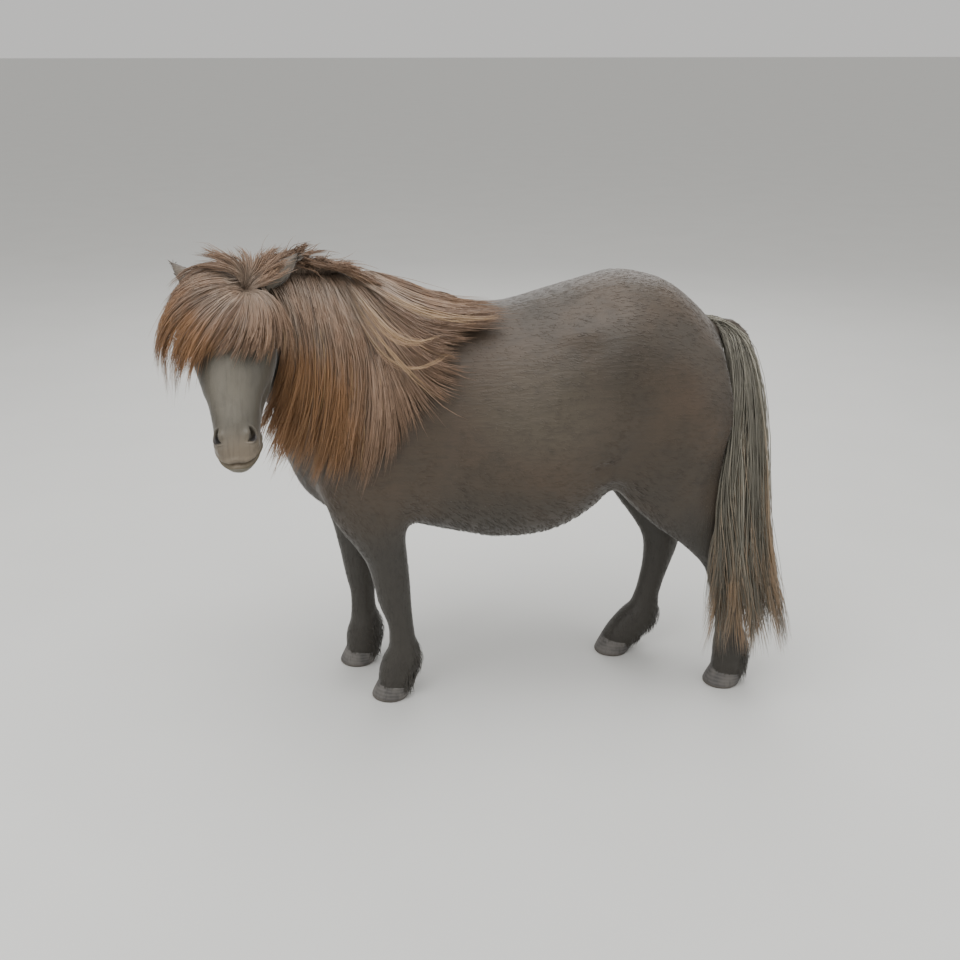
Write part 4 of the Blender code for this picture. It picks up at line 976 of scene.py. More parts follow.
def rootMap(skin):
    # an unwrap of a light copy of the skin, and how to read it at a place on the skin
    light = skin.copy()
    light.data = skin.data.copy()
    bpy.context.scene.collection.objects.link(light)
    thin = light.modifiers.new("thin", "DECIMATE")
    thin.ratio = 6000 / len(light.data.polygons)
    thin.use_collapse_triangulate = True
    applied(light)
    bpy.ops.object.mode_set(mode="EDIT")
    bpy.ops.mesh.select_all(action="SELECT")
    bpy.ops.uv.smart_project(angle_limit=math.radians(66), island_margin=0.004)
    bpy.ops.object.mode_set(mode="OBJECT")
    corners = coordinates(light)
    count = len(light.data.polygons)
    vertices = np.empty(count * 3, np.int32)
    light.data.polygons.foreach_get("vertices", vertices)
    flat = np.empty(count * 6, np.float32)
    light.data.uv_layers.active.data.foreach_get("uv", flat)
    tree = treeOf(light)
    bpy.data.objects.remove(light)
    triangles = corners[vertices.reshape(-1, 3)]
    uvs = flat.reshape(-1, 3, 2)

    def read(points):
        index = np.array([tree.find_nearest(Vector(p))[2] for p in points])
        a, b, c = (triangles[index, k] for k in range(3))
        ab, ac, ap = b - a, c - a, points - a
        d00, d01, d11 = (ab * ab).sum(1), (ab * ac).sum(1), (ac * ac).sum(1)
        d20, d21 = (ap * ab).sum(1), (ap * ac).sum(1)
        room = np.maximum(d00 * d11 - d01 * d01, 1e-18)
        second = np.clip((d11 * d20 - d01 * d21) / room, 0, 1)
        third = np.clip((d00 * d21 - d01 * d20) / room, 0, 1)
        first = np.clip(1 - second - third, 0, 1)
        share = np.stack([first, second, third], axis=1)
        share /= share.sum(axis=1, keepdims=True)
        return (uvs[index] * share[..., None]).sum(axis=1) * (1 - coat["patch"])
    return read


def fineGuides(lines, steps, across=8):
    # the lines again with more of them and more points, both ways on smooth curves
    rows = np.array([resampled(line, steps) for line in lines])
    return resampled(rows, (len(lines) - 1) * across + 1)


def readGuides(guides, at, across=8):
    # at: strands, steps. A place between guides for every step of every strand
    at = np.clip(at * across, 0, len(guides) - 1.001)
    first = at.astype(int)
    share = (at - first)[..., None]
    step = np.arange(guides.shape[1])[None, :]
    return guides[first, step] * (1 - share) + guides[first + 1, step] * share


def draped(paths, tree, lift):
    # every point at least the lift off the body, with the way out at each
    lay = np.empty_like(paths)
    for i in range(paths.shape[0]):
        for k in range(paths.shape[1]):
            near, out, _, far = tree.find_nearest(Vector(paths[i, k]))
            away = Vector(paths[i, k]) - near
            inside = away.dot(out) < 0
            if k == 0:
                paths[i, k] = near - out * 0.002
            elif inside or far < lift[i, k]:
                paths[i, k] = near + out * lift[i, k]
            lay[i, k] = out
    for _ in range(2):
        lay[:, 1:-1] = unit(lay[:, :-2] + lay[:, 1:-1] + lay[:, 2:])
        paths[:, 1:-1] = (paths[:, :-2] + 2 * paths[:, 1:-1] + paths[:, 2:]) / 4
    return paths, lay


def kept(paths):
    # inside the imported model's own box, give or take what loose hair may add
    low, high = (np.array(corner) for corner in cadBox)
    aside, above = looseHair["aside"], looseHair["above"]
    return np.clip(paths, (*(low[:2] - aside), shape["lowest"]), high + (aside, aside, above))


def hairBetween(name, lines, spread, size, tree, uvAt, frameOf):
    steps = size["steps"]
    guides = fineGuides(np.array([[frameOf(p) for p in line] for line in lines]), steps)
    along = np.linspace(0, 1, steps)
    at, layer, reach, sway, tone, turns = [], [], [], [], [], []
    for start, end, locks, strands in spread:
        gap = (end - start) / locks
        for k in range(locks):
            middle = start + gap * (k + draw.uniform(0, 1))
            deep = draw.uniform(0, 1)
            length = 1 - locksOfHair["deepShorter"] * (1 - deep) - draw.uniform(0, locksOfHair["uneven"])
            wave = draw.normal(0, size["sway"], 3)
            shade = draw.uniform(0, 1)
            pinch = draw.uniform(*locksOfHair["pinch"])
            turn = draw.uniform(0, 2 * math.pi, 2)
            curl = draw.uniform(*locksOfHair["curl"])
            for _ in range(strands):
                off = draw.normal(0, 0.5)
                at.append(middle + off * locksOfHair["apart"] * (1 - pinch * smooth(0.15, 0.9, along)))
                layer.append(np.clip(deep + draw.normal(0, 0.12), 0, 1))
                wild = draw.uniform() < locksOfHair["wildShare"]
                stray = locksOfHair["wildSway"] if wild else locksOfHair["tameSway"]
                reach.append(length * (1 - size["ragged"] * draw.uniform(0, 1) ** 1.5 + 0.06 * wild))
                sway.append(wave + draw.normal(0, size["sway"] * stray, 3))
                tone.append(size["pale"] + (1 - size["pale"]) * (0.6 * shade + 0.4 * draw.uniform()))
                turns.append((*(turn + draw.normal(0, 0.5, 2)), curl * draw.uniform(0.6, 1.4)))
    at, layer, reach, turns = np.array(at), np.array(layer), np.array(reach), np.array(turns)
    paths = readGuides(guides, at)
    short = along[None, :] * reach[:, None] * (steps - 1)
    first = np.minimum(short.astype(int), steps - 2)
    share = (short - first)[..., None]
    which = np.arange(len(paths))[:, None]
    paths = paths[which, first] * (1 - share) + paths[which, first + 1] * share
    paths = paths + np.array(sway)[:, None] * (along**1.6)[None, :, None]
    curve = np.stack([np.sin(turns[:, :1] + 11 * along), 0 * at, np.sin(turns[:, 1:2] + 9 * along)], axis=2)
    paths = paths + curve * (size["wave"] * turns[:, 2:3] * smooth(0.1, 0.5, along))[..., None]
    paths[:, 0] += draw.normal(0, locksOfHair["rootScatter"], (len(paths), 3))
    lift = 0.0015 + layer[:, None] * size["lift"] * (smooth(0, 0.25, along) * (1 - 0.25 * along))[None, :]
    paths, lay = draped(paths, tree, lift)
    paths = kept(paths)
    width = size["width"] * draw.uniform(0.7, 1.3, len(paths))
    return tubes(name, paths, lay, width, np.array(tone), uvAt(paths[:, 0]))


def tailHair(name, tree, uvAt):
    steps = tail["steps"]
    rows = resampled(tail["rows"], tail["fineRows"])
    lastRow = tail["fineRows"] - 1
    centres = placed(rows[:, :3])
    paths, lays, tones = [], [], []
    golden = math.pi * (3 - math.sqrt(5))
    along = np.linspace(0, 1, steps)
    for k in range(tail["locks"]):
        turn = k * golden + draw.uniform(-0.2, 0.2)
        ringAt = math.sqrt((k + 0.5) / tail["locks"])
        start = 2 + tail["startSpread"] * draw.uniform(0, 1) ** 1.5
        end = lastRow - tail["endSpread"] * draw.uniform(0, 1) * (1.05 - 0.45 * ringAt)
        shade = draw.uniform(0, 1)
        sway = draw.normal(0, tail["sway"], 3)
        phase = draw.uniform(0, 2 * math.pi, 2)
        for _ in range(tail["strands"]):
            first = start + draw.uniform(-4, 4)
            last = min(end + draw.normal(0, 4.5), lastRow)
            at = np.linspace(first, last, steps)
            low = np.minimum(at.astype(int), lastRow - 1)
            share = (at - low)[:, None]
            line = centres[low] * (1 - share) + centres[low + 1] * share
            size = rows[low, 3:] * (1 - share) + rows[low + 1, 3:] * share
            loose = tail["loose"] * (1 - 0.80 * smooth(0.1, 0.9, along))
            away = ringAt * smooth(-0.1, 0.35, along) * tail["full"]
            u = math.cos(turn) * away + draw.normal(0, 0.5) * loose
            v = math.sin(turn) * away + draw.normal(0, 0.5) * loose
            line = line + np.stack([u * size[:, 0], v * size[:, 1], 0 * u], axis=1)
            stray = tail["wildSway"] if draw.uniform() < tail["wildShare"] else tail["tameSway"]
            bend = phase + draw.normal(0, 0.5, 2)
            curve = np.stack([np.sin(bend[0] + 10 * along), np.sin(bend[1] + 8 * along) * 0.6, 0 * along], axis=1)
            line = line + curve * (tail["wave"] * smooth(0.15, 0.6, along))[:, None]
            line = line + (sway + draw.normal(0, stray, 3)) * (along**1.5)[:, None]
            line[:, 2] = np.maximum(line[:, 2], tail["lowest"])
            paths.append(line)
            lays.append(np.tile(unit(np.array([math.cos(turn), math.sin(turn), 0.15])), (steps, 1)))
            tones.append(0.65 * shade + 0.35 * draw.uniform())
    paths = np.array(paths)
    lift = np.full(paths.shape[:2], tail["clear"]) * smooth(0, 0.2, along)[None, :] + 0.001
    paths, _ = draped(paths, tree, lift)
    paths = kept(paths)
    width = tail["width"] * draw.uniform(0.7, 1.3, len(paths))
    return tubes(name, paths, np.array(lays), width, np.array(tones), uvAt(paths[:, 0]))


def skinSamples(skin):
    # triangles of the skin with their normals, to root the coat on
    skin.data.calc_loop_triangles()
    triangles = np.empty(len(skin.data.loop_triangles) * 3, np.int32)
    skin.data.loop_triangles.foreach_get("vertices", triangles)
    return coordinates(skin), normals(skin), triangles.reshape(-1, 3)


def nearEar(points, side):
    # 1 on the ear, 0 off it
    base = np.array(headFrame @ Vector(sided(side, ears["at"])))
    way = unit(np.array(ears["ways"][side]))
    along = (points - base) @ way
    off = np.linalg.norm(points - base - along[:, None] * way, axis=1)
    return ((along > 0.012) & (off < 0.034) & (along < 0.13)).astype(float)


def lieOf(points, outward):
    # the way the coat lies: back along the body, down the legs and neck, down the face
    place = inHead(points)
    home = homeOf(points)
    away = np.sign(home[:, 1:2])
    x, z = home[:, 0], home[:, 2]
    lie = np.tile([1.0, 0, -0.30], (len(points), 1))
    low = (1 - smooth(0.42, 0.60, z))[:, None]
    lie = lie * (1 - low) + np.array([0.12, 0, -1.0]) * low
    fore = (smooth(-0.30, -0.42, x) * smooth(0.5, 0.62, z))[:, None]
    lie = lie * (1 - fore) + (np.array([0.55, 0, -0.75]) + away * np.array([0, 0.2, 0])) * fore
    face = onHead(points)[:, None]
    nose = np.array(headTurn() @ Vector((0, 1, 0)))
    cheek = np.array(headTurn() @ Vector((0, 0.55, -0.8)))
    side = smooth(-0.12, -0.30, place[:, 2])[:, None]
    lie = np.where(face, nose * (1 - side) + cheek * side, lie)
    for earSide in (-1, 1):
        lie = np.where(nearEar(points, earSide)[:, None] < 0.5, lie, unit(np.array(ears["ways"][earSide])))
    lie = lie - outward * (lie * outward).sum(axis=1, keepdims=True)
    return unit(lie + 1e-6)


def tufts(name, samples, uvAt, count, weight, size):
    # short bent tufts over the skin. weight: points -> how thick they stand, size: points -> length, width, rise
    points, outward, triangles = samples
    a, b, c = (points[triangles[:, k]] for k in range(3))
    area = np.linalg.norm(np.cross(b - a, c - a), axis=1) / 2
    share = area * weight((a + b + c) / 3)
    chosen = draw.choice(len(triangles), size=count, p=share / share.sum())
    u, v = draw.uniform(0, 1, (2, count))
    flip = u + v > 1
    u, v = np.where(flip, 1 - u, u), np.where(flip, 1 - v, v)
    mix = np.stack([1 - u - v, u, v], axis=1)[..., None]
    root = (points[triangles[chosen]] * mix).sum(axis=1)
    out = unit((outward[triangles[chosen]] * mix).sum(axis=1))
    lie = lieOf(root, out)
    side = np.cross(out, lie)
    lie = unit(lie + side * draw.normal(0, 0.16, count)[:, None])
    length, width, rise = size(root, out)
    length = length * draw.uniform(0.7, 1.3, count)
    start = root - out * 0.0006
    middle = root + lie * (0.5 * length)[:, None] + out * rise[:, None]
    tip = root + lie * length[:, None] + out * (rise * draw.uniform(0.5, 1.1, count))[:, None]
    paths = np.stack([start, middle, tip], axis=1)
    lay = np.repeat(out[:, None], 3, axis=1)
    paths[..., 2] = np.maximum(paths[..., 2], coat["lowest"])
    width = width * draw.uniform(0.7, 1.3, count)
    return tubes(name, paths, lay, width, draw.uniform(0, 1, count), uvAt(root), 0.11, crisp=True)


def trunkWeight(points):
    home = homeOf(points)
    return (~onHead(points)) * smooth(0.36, 0.46, home[:, 2]) * smooth(-0.50, -0.40, home[:, 0])


def neckWeight(points):
    home = homeOf(points)
    return (~onHead(points)) * smooth(-0.38, -0.46, home[:, 0]) * smooth(0.45, 0.55, home[:, 2])


def legWeight(points):
    home = homeOf(points)
    return (~onHead(points)) * smooth(0.50, 0.40, home[:, 2]) * (1 + 1.5 * smooth(0.16, 0.05, home[:, 2]))


def headWeight(points):
    place = inHead(points)
    near = np.ones(len(points))
    for side in (-1, 1):
        eye = np.array(sided(side, eyes["at"]))
        near *= smooth(0.050, 0.085, np.linalg.norm(place - eye, axis=1))
        hole = np.array(sided(side, muzzle["nostril"]))
        near *= smooth(0.035, 0.060, np.linalg.norm(place - hole, axis=1))
    return onHead(points) * near * (1 - 0.6 * smooth(0.80, 0.95, place[:, 1])) + 1e-9


def bodySize(points, out):
    home = homeOf(points)
    under = smooth(-0.2, -0.9, out[:, 2]) * smooth(0.36, 0.42, home[:, 2])
    return tuple(plain + more * under for plain, more in zip(coat["bodyTuft"], coat["bellyMore"]))


def legSize(points, out):
    home = homeOf(points)
    low = smooth(0.17, 0.09, home[:, 2]) * smooth(0.03, 0.05, home[:, 2])
    behind = smooth(0.1, 0.7, out[:, 0])
    feather = low * behind
    length, width, rise = (plain + more * feather for plain, more in zip(coat["legTuft"], coat["featherMore"]))
    return length + coat["coronetLonger"] * smooth(0.07, 0.04, home[:, 2]), width, rise


def headSize(points, out):
    place = inHead(points)
    jaw = smooth(-0.30, -0.42, place[:, 2])
    ear = np.maximum(nearEar(points, -1), nearEar(points, 1))
    small = smooth(0.70, 0.92, place[:, 1])
    length, width, rise = coat["headTuft"]
    return length + 0.005 * jaw - 0.0015 * ear - 0.0030 * small, width - 0.0004 * small, rise + 0.0006 * jaw


class Wire:
    # a socket that sums can be written with
    def __init__(self, finish, socket):
        self.finish, self.socket = finish, socket

    def sum(self, operation, first, second):
        return self.finish.node("ShaderNodeMath", {"operation": operation}, {0: first, 1: second})

    def __add__(self, other):
        return self.sum("ADD", self, other)

    __radd__ = __add__

    def __mul__(self, other):
        return self.sum("MULTIPLY", self, other)

    __rmul__ = __mul__

    def __sub__(self, other):
        return self.sum("SUBTRACT", self, other)

    def __rsub__(self, other):
        return self.sum("SUBTRACT", other, self)

    def __truediv__(self, other):
        return self.sum("DIVIDE", self, other)

    def __pow__(self, other):
        return self.sum("POWER", self, other)

    def eased(self, low, high):
        # 0 at low, 1 at high
        return self.finish.node("ShaderNodeMapRange", {"interpolation_type": "SMOOTHSTEP"}, {0: self, 1: low, 2: high})


class Finish:
    def __init__(self, name, roughness=0.5, **steady):
        self.material = bpy.data.materials.new(name)
        self.material.use_nodes = True
        self.nodes = self.material.node_tree.nodes
        self.links = self.material.node_tree.links
        self.shader = self.nodes["Principled BSDF"]
        self.shader.inputs["Roughness"].default_value = roughness
        for socket, value in steady.items():
            self.shader.inputs[socket].default_value = value
        self.place = self.node("ShaderNodeTexCoord", {}, {}, "Object")

    def node(self, kind, settings, values, output=0):
        made = self.nodes.new(kind)
        for key, value in settings.items():
            setattr(made, key, value)
        for key, value in values.items():
            if isinstance(value, Wire):
                self.links.new(value.socket, made.inputs[key])
            else:
                made.inputs[key].default_value = value
        return Wire(self, made.outputs[output])

    def attribute(self, name):
        return self.node("ShaderNodeAttribute", {"attribute_name": name}, {}, "Fac")

    def noise(self, scale, detail=3.0, stretch=(1, 1, 1)):
        where = self.node("ShaderNodeMapping", {}, {"Vector": self.place, "Scale": stretch})
        return self.node("ShaderNodeTexNoise", {}, {"Vector": where, "Scale": scale, "Detail": detail})

    def distance(self, centre, radii):
        # 0 at the centre, 1 on the ellipsoid
        scale = tuple(1 / r for r in radii)
        offset = tuple(-c / r for c, r in zip(centre, radii))
        moved = self.node("ShaderNodeMapping", {}, {"Vector": self.place, "Location": offset, "Scale": scale})
        return self.node("ShaderNodeVectorMath", {"operation": "LENGTH"}, {0: moved}, "Value")

    def along(self, direction, start=(0, 0, 0)):
        shifted = self.node("ShaderNodeVectorMath", {"operation": "SUBTRACT"}, {0: self.place, 1: tuple(start)})
        values = {0: shifted, 1: tuple(direction)}
        return self.node("ShaderNodeVectorMath", {"operation": "DOT_PRODUCT"}, values, "Value")

    def blend(self, share, first, second):
        first, second = ((*c, 1) if isinstance(c, tuple) else c for c in (first, second))
        return self.node("ShaderNodeMix", {"data_type": "RGBA"}, {0: share, 6: first, 7: second}, 2)

    def wear(self, socket, value):
        self.links.new(value.socket, self.shader.inputs[socket])

    def bump(self, height, distance, strength=1.0):
        made = self.node("ShaderNodeBump", {}, {"Height": height, "Distance": distance, "Strength": strength}, "Normal")
        self.wear("Normal", made)

    def on(self, *pieces):
        for piece in pieces:
            piece.data.materials.clear()
            piece.data.materials.append(self.material)


colours = {
    "body": (0.044, 0.034, 0.024),
    # real brown in random patches of the coat, and also the painted sheen on shoulder and flank
    "bodyBrown": (0.066, 0.046, 0.030),
    # painted sheen: a lighter colour for the shine on the side of the barrel
    "paintedSideSheen": (0.080, 0.066, 0.048),
    "bodyDark": (0.028, 0.023, 0.018),
    "legs": (0.036, 0.032, 0.026),
    "face": (0.062, 0.055, 0.042),
    "nose": (0.122, 0.109, 0.084),
    "ear": (0.120, 0.098, 0.074),
    "muzzle": (0.200, 0.160, 0.115),
    "muzzleDark": (0.032, 0.028, 0.025),
    "lip": (0.085, 0.070, 0.038),
    # painted shade: near black for the insides of the nostrils, where shade falls
    "hollow": (0.014, 0.011, 0.010),
    "maneGrey": (0.225, 0.170, 0.128),
    "maneBrown": (0.262, 0.170, 0.114),
    "maneRust": (0.300, 0.162, 0.078),
    "maneGold": (0.450, 0.310, 0.170),
    "maneDark": (0.078, 0.056, 0.042),
    "tailDark": (0.140, 0.130, 0.104),
    "tailGrey": (0.320, 0.300, 0.240),
    "tailTip": (0.360, 0.220, 0.118),
}

# where the colours change: centre and radii of each patch
marks = {
    # shares of croup
    # painted sheen: the lighter brown of shoulder and flank, where the coat shines
    "shoulder": ((-0.16, -0.16, 0.80), (0.30, 0.30, 0.20)),
    "flank": ((0.14, -0.20, 0.68), (0.24, 0.24, 0.16)),
    # painted sheen: where the lighter shine on the side of the barrel is painted
    "paintedSideSheen": ((0.02, -0.22, 0.74), (0.22, 0.30, 0.16)),
    "maneFront": ((-0.50, -0.18, 0.74), (0.17, 0.25, 0.20)),
    "maneBrow": ((-0.72, -0.26, 0.88), (0.12, 0.16, 0.16)),
    # in the head's own frame
    "head": ((0, 0.52, -0.18), (0.20, 0.29, 0.29)),
    "noseBridge": ((0.02, 0.62, 0.0), (0.060, 0.13, 0.13)),
}


def headPoint(p):
    return np.array(headFrame @ Vector(p))


def patchOf(finish, name, low, high=1.0, spot=placed):
    # 1 inside the patch, 0 outside it
    centre, radii = marks[name]
    return 1 - finish.distance(spot(centre), radii).eased(low, high)


def markings(finish):
    # the colours of skin and coat, by the place on the pony
    noseWay = headTurn() @ Vector((0, 1, 0))
    browWay = headTurn() @ Vector((0, 0, 1))
    poll = headFrame.translation
    size = shape["headLength"]
    down = finish.along(noseWay, poll) / size
    out = finish.along(browWay, poll) / size
    low = finish.along((0, 0, 1), standing) / shape["croup"]
    patches = finish.noise(5.5, 3.0)
    fine = finish.noise(38.0, 3.0)
    colour = finish.blend(patches.eased(0.36, 0.68), colours["body"], colours["bodyBrown"])
    # painted sheen: shoulder and flank lightened towards brown where the coat shines in the light
    shoulder = patchOf(finish, "shoulder", 0.3)
    flank = patchOf(finish, "flank", 0.3)
    colour = finish.blend(shoulder * 0.60 + flank * 0.40, colour, colours["bodyBrown"])
    # painted sheen: the side of the barrel lightened where the coat shines in the light
    colour = finish.blend(patchOf(finish, "paintedSideSheen", 0.2) * 0.75, colour, colours["paintedSideSheen"])
    colour = finish.blend(low.eased(0.60, 0.36), colour, colours["legs"])
    colour = finish.blend(fine.eased(0.45, 0.80) * 0.30, colour, colours["bodyDark"])
    onHeadMask = patchOf(finish, "head", 0.86, spot=headPoint)
    bridge = patchOf(finish, "noseBridge", 0.2, spot=headPoint)
    face = finish.blend(out.eased(-0.16, 0.0) * (0.30 + 0.70 * bridge), colours["face"], colours["nose"])
    face = finish.blend(down.eased(0.78, 0.97) * 0.85, face, colours["muzzle"])
    mouth = out - muzzle["mouthFall"] * (down - muzzle["lipsAt"])
    lips = mouth.eased(muzzle["mouth"] + 0.01, muzzle["mouth"] - 0.03) * down.eased(0.80, 0.90)
    face = finish.blend(lips, face, colours["lip"])
    face = finish.blend(fine.eased(0.40, 0.80) * 0.30, face, colours["face"])
    for side in (-1, 1):
        eye = finish.distance(headFrame @ Vector(sided(side, eyes["at"])), (0.026, 0.026, 0.026))
        face = finish.blend(1 - eye.eased(0.7, 1.25), face, colours["muzzleDark"])
        # painted shade: each nostril's inside darkened to near black, where shade falls in the hole
        x, y, z = muzzle["nostril"]
        hole = finish.distance(headFrame @ Vector((side * (x + 0.006), y + 0.004, z - 0.026)), (0.0095, 0.0125, 0.0125))
        face = finish.blend(1 - hole.eased(0.55, 1.15), face, colours["hollow"])
    colour = finish.blend(onHeadMask, colour, face)
    for name in ("ear_left", "ear_right"):
        bottom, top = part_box(name)
        ear = 1 - finish.distance((bottom + top) / 2, (0.070, 0.070, 0.080)).eased(0.5, 1.0)
        colour = finish.blend(ear * 0.60, colour, colours["ear"])
    return colour, low, down


def coatFinish(name, hair):
    finish = Finish(name, 0.50, **{"Specular IOR Level": 0.40, "Sheen Weight": 0.22, "Sheen Roughness": 0.35})
    colour, low, down = markings(finish)
    if hair:
        tone = finish.attribute("tone")
        colour = finish.blend(tone.eased(0.60, 1.0) * 0.14, colour, colours["bodyBrown"])
        colour = finish.blend(tone.eased(0.4, 0.0) * 0.08, colour, colours["bodyDark"])
    else:
        lengthwise = finish.noise(150.0, 4.0, (0.13, 1, 1))
        downwise = finish.noise(150.0, 4.0, (1, 1, 0.12))
        leg = low.eased(0.56, 0.44)
        noseward = finish.noise(150.0, 4.0, (1, 0.16, 0.16))
        face = patchOf(finish, "head", 0.80, spot=headPoint)
        height = (lengthwise * (1 - leg) + downwise * leg) * (1 - face) + noseward * face
        colour = finish.blend(height.eased(0.45, 0.75) * 0.25, colour, colours["bodyDark"])
        finish.bump(height, 0.003, 0.45)
    finish.wear("Base Color", colour)
    return finish


def maneFinish(name):
    # grey brown over the crest, rust low in front, gold on some thin strands
    finish = Finish(name, 0.44, **{"Specular IOR Level": 0.45})
    tone = finish.attribute("tone")
    along = finish.attribute("along")
    streak = finish.noise(30.0, 3.0, (1, 1, 0.30))
    front = patchOf(finish, "maneFront", 0.45, 1.10)
    brow = patchOf(finish, "maneBrow", 0.40, 1.15)
    rust = (front + brow) * 0.85 + (along - 0.55) * 0.7 + (tone - 0.5) * 0.5 + (streak - 0.5) * 0.9
    colour = finish.blend((along + (streak - 0.5) * 1.2).eased(0.05, 0.75), colours["maneGrey"], colours["maneBrown"])
    colour = finish.blend(rust.eased(0.20, 0.95), colour, colours["maneRust"])
    colour = finish.blend(tone.eased(0.86, 0.97) * along.eased(0.15, 0.6) * 0.75, colour, colours["maneGold"])
    colour = finish.blend(tone.eased(0.34, 0.02) * 0.75, colour, colours["maneDark"])
    finish.wear("Base Color", colour)
    return finish


def tailFinish():
    finish = Finish("tailHair", 0.42, **{"Specular IOR Level": 0.45})
    tone = finish.attribute("tone")
    along = finish.attribute("along")
    streak = finish.noise(34.0, 3.0, (1, 1, 0.25))
    colour = finish.blend((tone + (streak - 0.5) * 0.6).eased(0.45, 0.95), colours["tailDark"], colours["tailGrey"])
    rust = (along + (tone - 0.5) * 0.9 + (streak - 0.5) * 0.7).eased(0.62, 1.30)
    colour = finish.blend(rust * 0.90, colour, colours["tailTip"])
    edge = finish.along((1, 0.15, 0), placed((0.515, 0, 0))).eased(0.0, 0.035) * tone.eased(0.25, 0.7)
    high = finish.along((0, 0, 1), standing).eased(0.50, 0.62)
    colour = finish.blend(edge * high * 0.55, colour, colours["tailTip"])
    finish.wear("Base Color", colour)
    return finish


hooves = {
    "length": 0.094,
    "width": 0.086,
    "toeHeight": 0.047,
    "fall": 0.14,
    "lean": 0.016,
    "heelShare": 0.86,
    "rings": 9,
    "sides": 48,
    "horn": (0.060, 0.056, 0.054),
    "hornPale": (0.125, 0.115, 0.105),
    "bands": (0.165, 0.155, 0.145),
    "grain": (0.040, 0.037, 0.035),
    "sole": (0.085, 0.072, 0.058),
}


def makeHoof(name):
    # a wall of faint rings that leans back, a flat sole and a soft heel
    low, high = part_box(name + "_hoof")
    halfLong, halfWide = hooves["length"] / 2, hooves["width"] / 2
    middle = Vector(((low.x + halfLong - 0.08 * hooves["lean"]), (low.y + high.y) / 2, 0))
    bpy.ops.object.select_all(action="DESELECT")
    bpy.ops.mesh.primitive_cylinder_add(vertices=hooves["sides"], radius=1, depth=1, end_fill_type="NGON")
    hoof = bpy.context.object
    hoof.name = name + "Hoof"
    bpy.ops.object.mode_set(mode="EDIT")
    for cut in np.linspace(-0.5, 0.5, hooves["rings"] + 2)[1:-1]:
        bpy.ops.mesh.select_all(action="SELECT")
        bpy.ops.mesh.bisect(plane_co=(0, 0, cut), plane_no=(0, 0, 1))
    bpy.ops.object.mode_set(mode="OBJECT")
    points = coordinates(hoof)
    rise = points[:, 2] + 0.5
    ahead = np.where(points[:, 0] > 0, points[:, 0] * hooves["heelShare"], points[:, 0])
    cleft = 0.10 * np.exp(-((points[:, 1] / 0.22) ** 2)) * (points[:, 0] > 0.5)
    shrink = (0.955 + 0.045 * smooth(0, 0.08, rise)) * (1 - 0.07 * smooth(0.05, 1, rise))
    shrink = shrink * (1 + 0.006 * np.sin(rise * 2 * math.pi * 5)) - cleft
    x = middle.x + ahead * shrink * halfLong + rise * hooves["lean"]
    top = hooves["toeHeight"] - hooves["fall"] * (x - (middle.x - halfLong))
    y = middle.y + points[:, 1] * shrink * halfWide
    moveTo(hoof, np.stack([x, y, rise * top * 0.995], axis=1))
    bevel = hoof.modifiers.new("edge", "BEVEL")
    bevel.width = 0.0012
    bevel.segments = 2
    bevel.limit_method = "ANGLE"
    applied(facingOut(hoof))
    bpy.ops.object.shade_smooth()
    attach(hoof, "root")
    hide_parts(name + "_hoof")
    return hoof


def hoofFinish():
    finish = Finish("hoofHorn", 0.62)
    low = finish.along((0, 0, 1))
    grain = finish.noise(160.0, 3.0, (1, 1, 0.12))
    blotch = finish.noise(30.0, 2.0)
    wave = {"Vector": finish.place, "Scale": 38.0, "Distortion": 2.0}
    bands = finish.node("ShaderNodeTexWave", {"bands_direction": "Z"}, wave)
    colour = finish.blend(blotch.eased(0.35, 0.65), hooves["horn"], hooves["hornPale"])
    colour = finish.blend(bands * 0.35, colour, hooves["bands"])
    colour = finish.blend(grain.eased(0.5, 0.8) * 0.5, colour, hooves["grain"])
    colour = finish.blend(low.eased(0.010, 0.0), colour, hooves["sole"])
    finish.wear("Base Color", colour)
    finish.bump(bands * 0.4 + grain * 0.6, 0.0012, 0.5)
    return finish


def makeEye(side):
    bpy.ops.object.select_all(action="DESELECT")
    bpy.ops.mesh.primitive_uv_sphere_add(segments=40, ring_count=24, radius=eyes["radius"])
    eye = bpy.context.object
    eye.name = "eyeLeft" if side < 0 else "eyeRight"
    points = coordinates(eye)
    front = smooth(0.70, 1.0, points[:, 2] / eyes["radius"])
    moveTo(eye, points * (1 + 0.045 * front)[:, None])      # the clear front stands out a little
    eye.data.transform(lookFrame(side))
    if lookFrame(side).determinant() < 0:
        eye.data.flip_normals()
    bpy.ops.object.shade_smooth()
    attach(eye, "root")
    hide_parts("eye_left" if side < 0 else "eye_right")
    return eye


def eyeFinish(side):
    finish = Finish("eyeWet" + ("Left" if side < 0 else "Right"), 0.06, **{"Coat Weight": 0.6, "Coat Roughness": 0.03})
    turn = lookFrame(side)
    ahead, up, look = (turn.to_3x3().col[k] for k in range(3))
    u = finish.along(ahead, turn.translation)
    v = finish.along(up, turn.translation)
    reach = (u * u + v * v) ** 0.5
    halfLong, halfHigh = eyes["pupil"]
    pupil = ((u * u) / halfLong**2 + (v * v) / halfHigh**2) ** 0.5
    colour = finish.blend(reach.eased(*eyes["irisEdge"]), eyes["iris"], eyes["rim"])
    colour = finish.blend(1 - pupil.eased(0.85, 1.1), colour, eyes["pupilBlack"])
    finish.wear("Base Color", colour)
    return finish


camera = {
    "at": (-0.2914, -2.3597, 1.472),
    "downDegrees": 22.03,
    "turnDegrees": 4.6,
    "lens": 41.25,
}

studio = {
    "floorSize": 160,
    "floor": (0.62, 0.62, 0.60),
    "floorPale": (0.66, 0.66, 0.64),
    "sky": (0.93, 0.92, 0.90, 1),
    "skyStrength": 0.75,
}

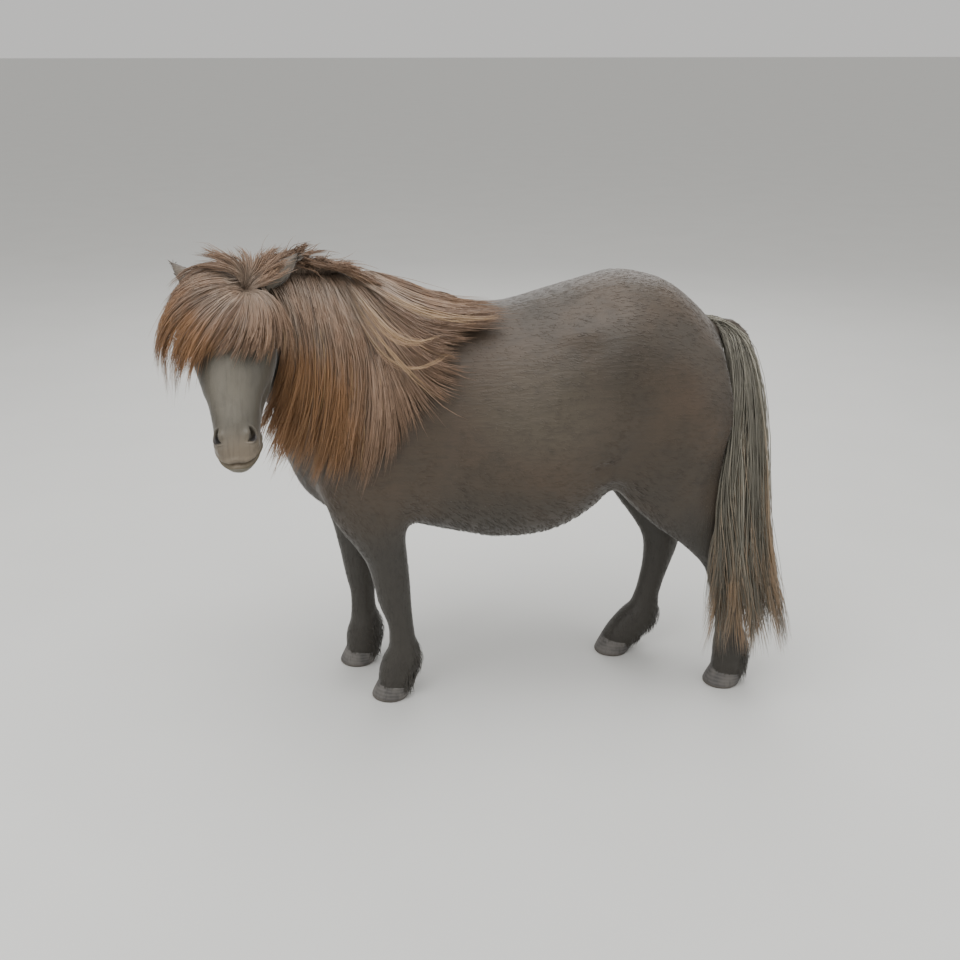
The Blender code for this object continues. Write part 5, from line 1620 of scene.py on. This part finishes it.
lights = [
    # place, aims at, size, power
    ((-0.4, -0.6, 4.4), (0, 0, 0.6), 4.0, 190),
    ((-3.2, -3.0, 2.6), (0, 0, 0.7), 3.0, 60),
    ((3.4, -1.6, 2.6), (0, 0, 0.7), 3.0, 40),
    ((0.5, 3.4, 3.0), (0, 0, 0.7), 3.0, 50),
]


def makeStage():
    bpy.ops.object.select_all(action="DESELECT")
    bpy.ops.mesh.primitive_plane_add(size=studio["floorSize"])
    floor = bpy.context.object
    floor.name = "floor"
    paint = Finish("floorPaint", 0.85)
    speckle = paint.noise(3.0, 2.0)
    paint.wear("Base Color", paint.blend(speckle, studio["floor"], studio["floorPale"]))
    paint.on(floor)
    for place, target, size, power in lights:
        bpy.ops.object.light_add(type="AREA", location=place)
        light = bpy.context.object
        light.data.size = size
        light.data.energy = power
        light.rotation_euler = (Vector(target) - Vector(place)).to_track_quat("-Z", "Y").to_euler()
    world = bpy.data.worlds.new("studio")
    world.use_nodes = True
    sky = world.node_tree.nodes["Background"].inputs
    sky["Color"].default_value = studio["sky"]
    sky["Strength"].default_value = studio["skyStrength"]
    bpy.context.scene.world = world
    bpy.ops.object.camera_add(location=Vector(camera["at"]) + standing)
    eye = bpy.context.object
    eye.rotation_euler = (math.radians(90 - camera["downDegrees"]), 0, -math.radians(camera["turnDegrees"]))
    eye.data.lens = camera["lens"]
    eye.data.sensor_width = 36
    bpy.context.scene.camera = eye


def main():
    makeStage()
    skin = makeSkin()
    tree = treeOf(skin)
    uvAt = rootMap(skin)
    print("roots mapped")
    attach(skin, "root")
    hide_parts("torso", "neck", "head", "ear_left", "ear_right",
                *(n + e for n in legs for e in ("_upper", "_lower")))
    coatFinish("skinCoat", False).on(skin)
    hair = []
    for name, (lines, spread) in mane["pieces"].items():
        size = {**mane, "lift": mane["farLift"]} if lines == "far" else mane
        hair.append(hairBetween(name, mane[lines], spread, size, tree, uvAt, placed))
    hair.append(hairBetween("maneStrays", strays["lines"], strays["spread"], strays, tree, uvAt, placed))
    onBrow = (forelock, tree, uvAt, headPoint)
    hair.append(hairBetween("forelockTop", forelock["poll"], forelock["pollSpread"], *onBrow))
    brow = hairBetween("forelock", forelock["lines"], forelock["spread"], *onBrow)
    maneFinish("maneHair").on(*hair, brow)
    print("mane and forelock done")
    tailPiece = tailHair("tailHair", tree, uvAt)
    tailFinish().on(tailPiece)
    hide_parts("tail")
    for piece in hair + [brow]:
        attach(piece, "root")
    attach(tailPiece, "root")
    samples = skinSamples(skin)
    coats = [
        tufts("coatTrunk", samples, uvAt, coat["trunk"], trunkWeight, bodySize),
        tufts("coatNeck", samples, uvAt, coat["neck"], neckWeight, bodySize),
        tufts("coatLegs", samples, uvAt, coat["legs"], legWeight, legSize),
        tufts("coatHead", samples, uvAt, coat["head"], headWeight, headSize),
    ]
    coatFinish("hairCoat", True).on(*coats)
    for piece, slotName in zip(coats, ("coat", "coat", "coat", "face")):
        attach(piece, "root")
    print("coat done")
    horn = hoofFinish()
    horn.on(*(makeHoof(name) for name in legs))
    for side in (-1, 1):
        eyeFinish(side).on(makeEye(side))
    print("hooves and eyes done")


main()
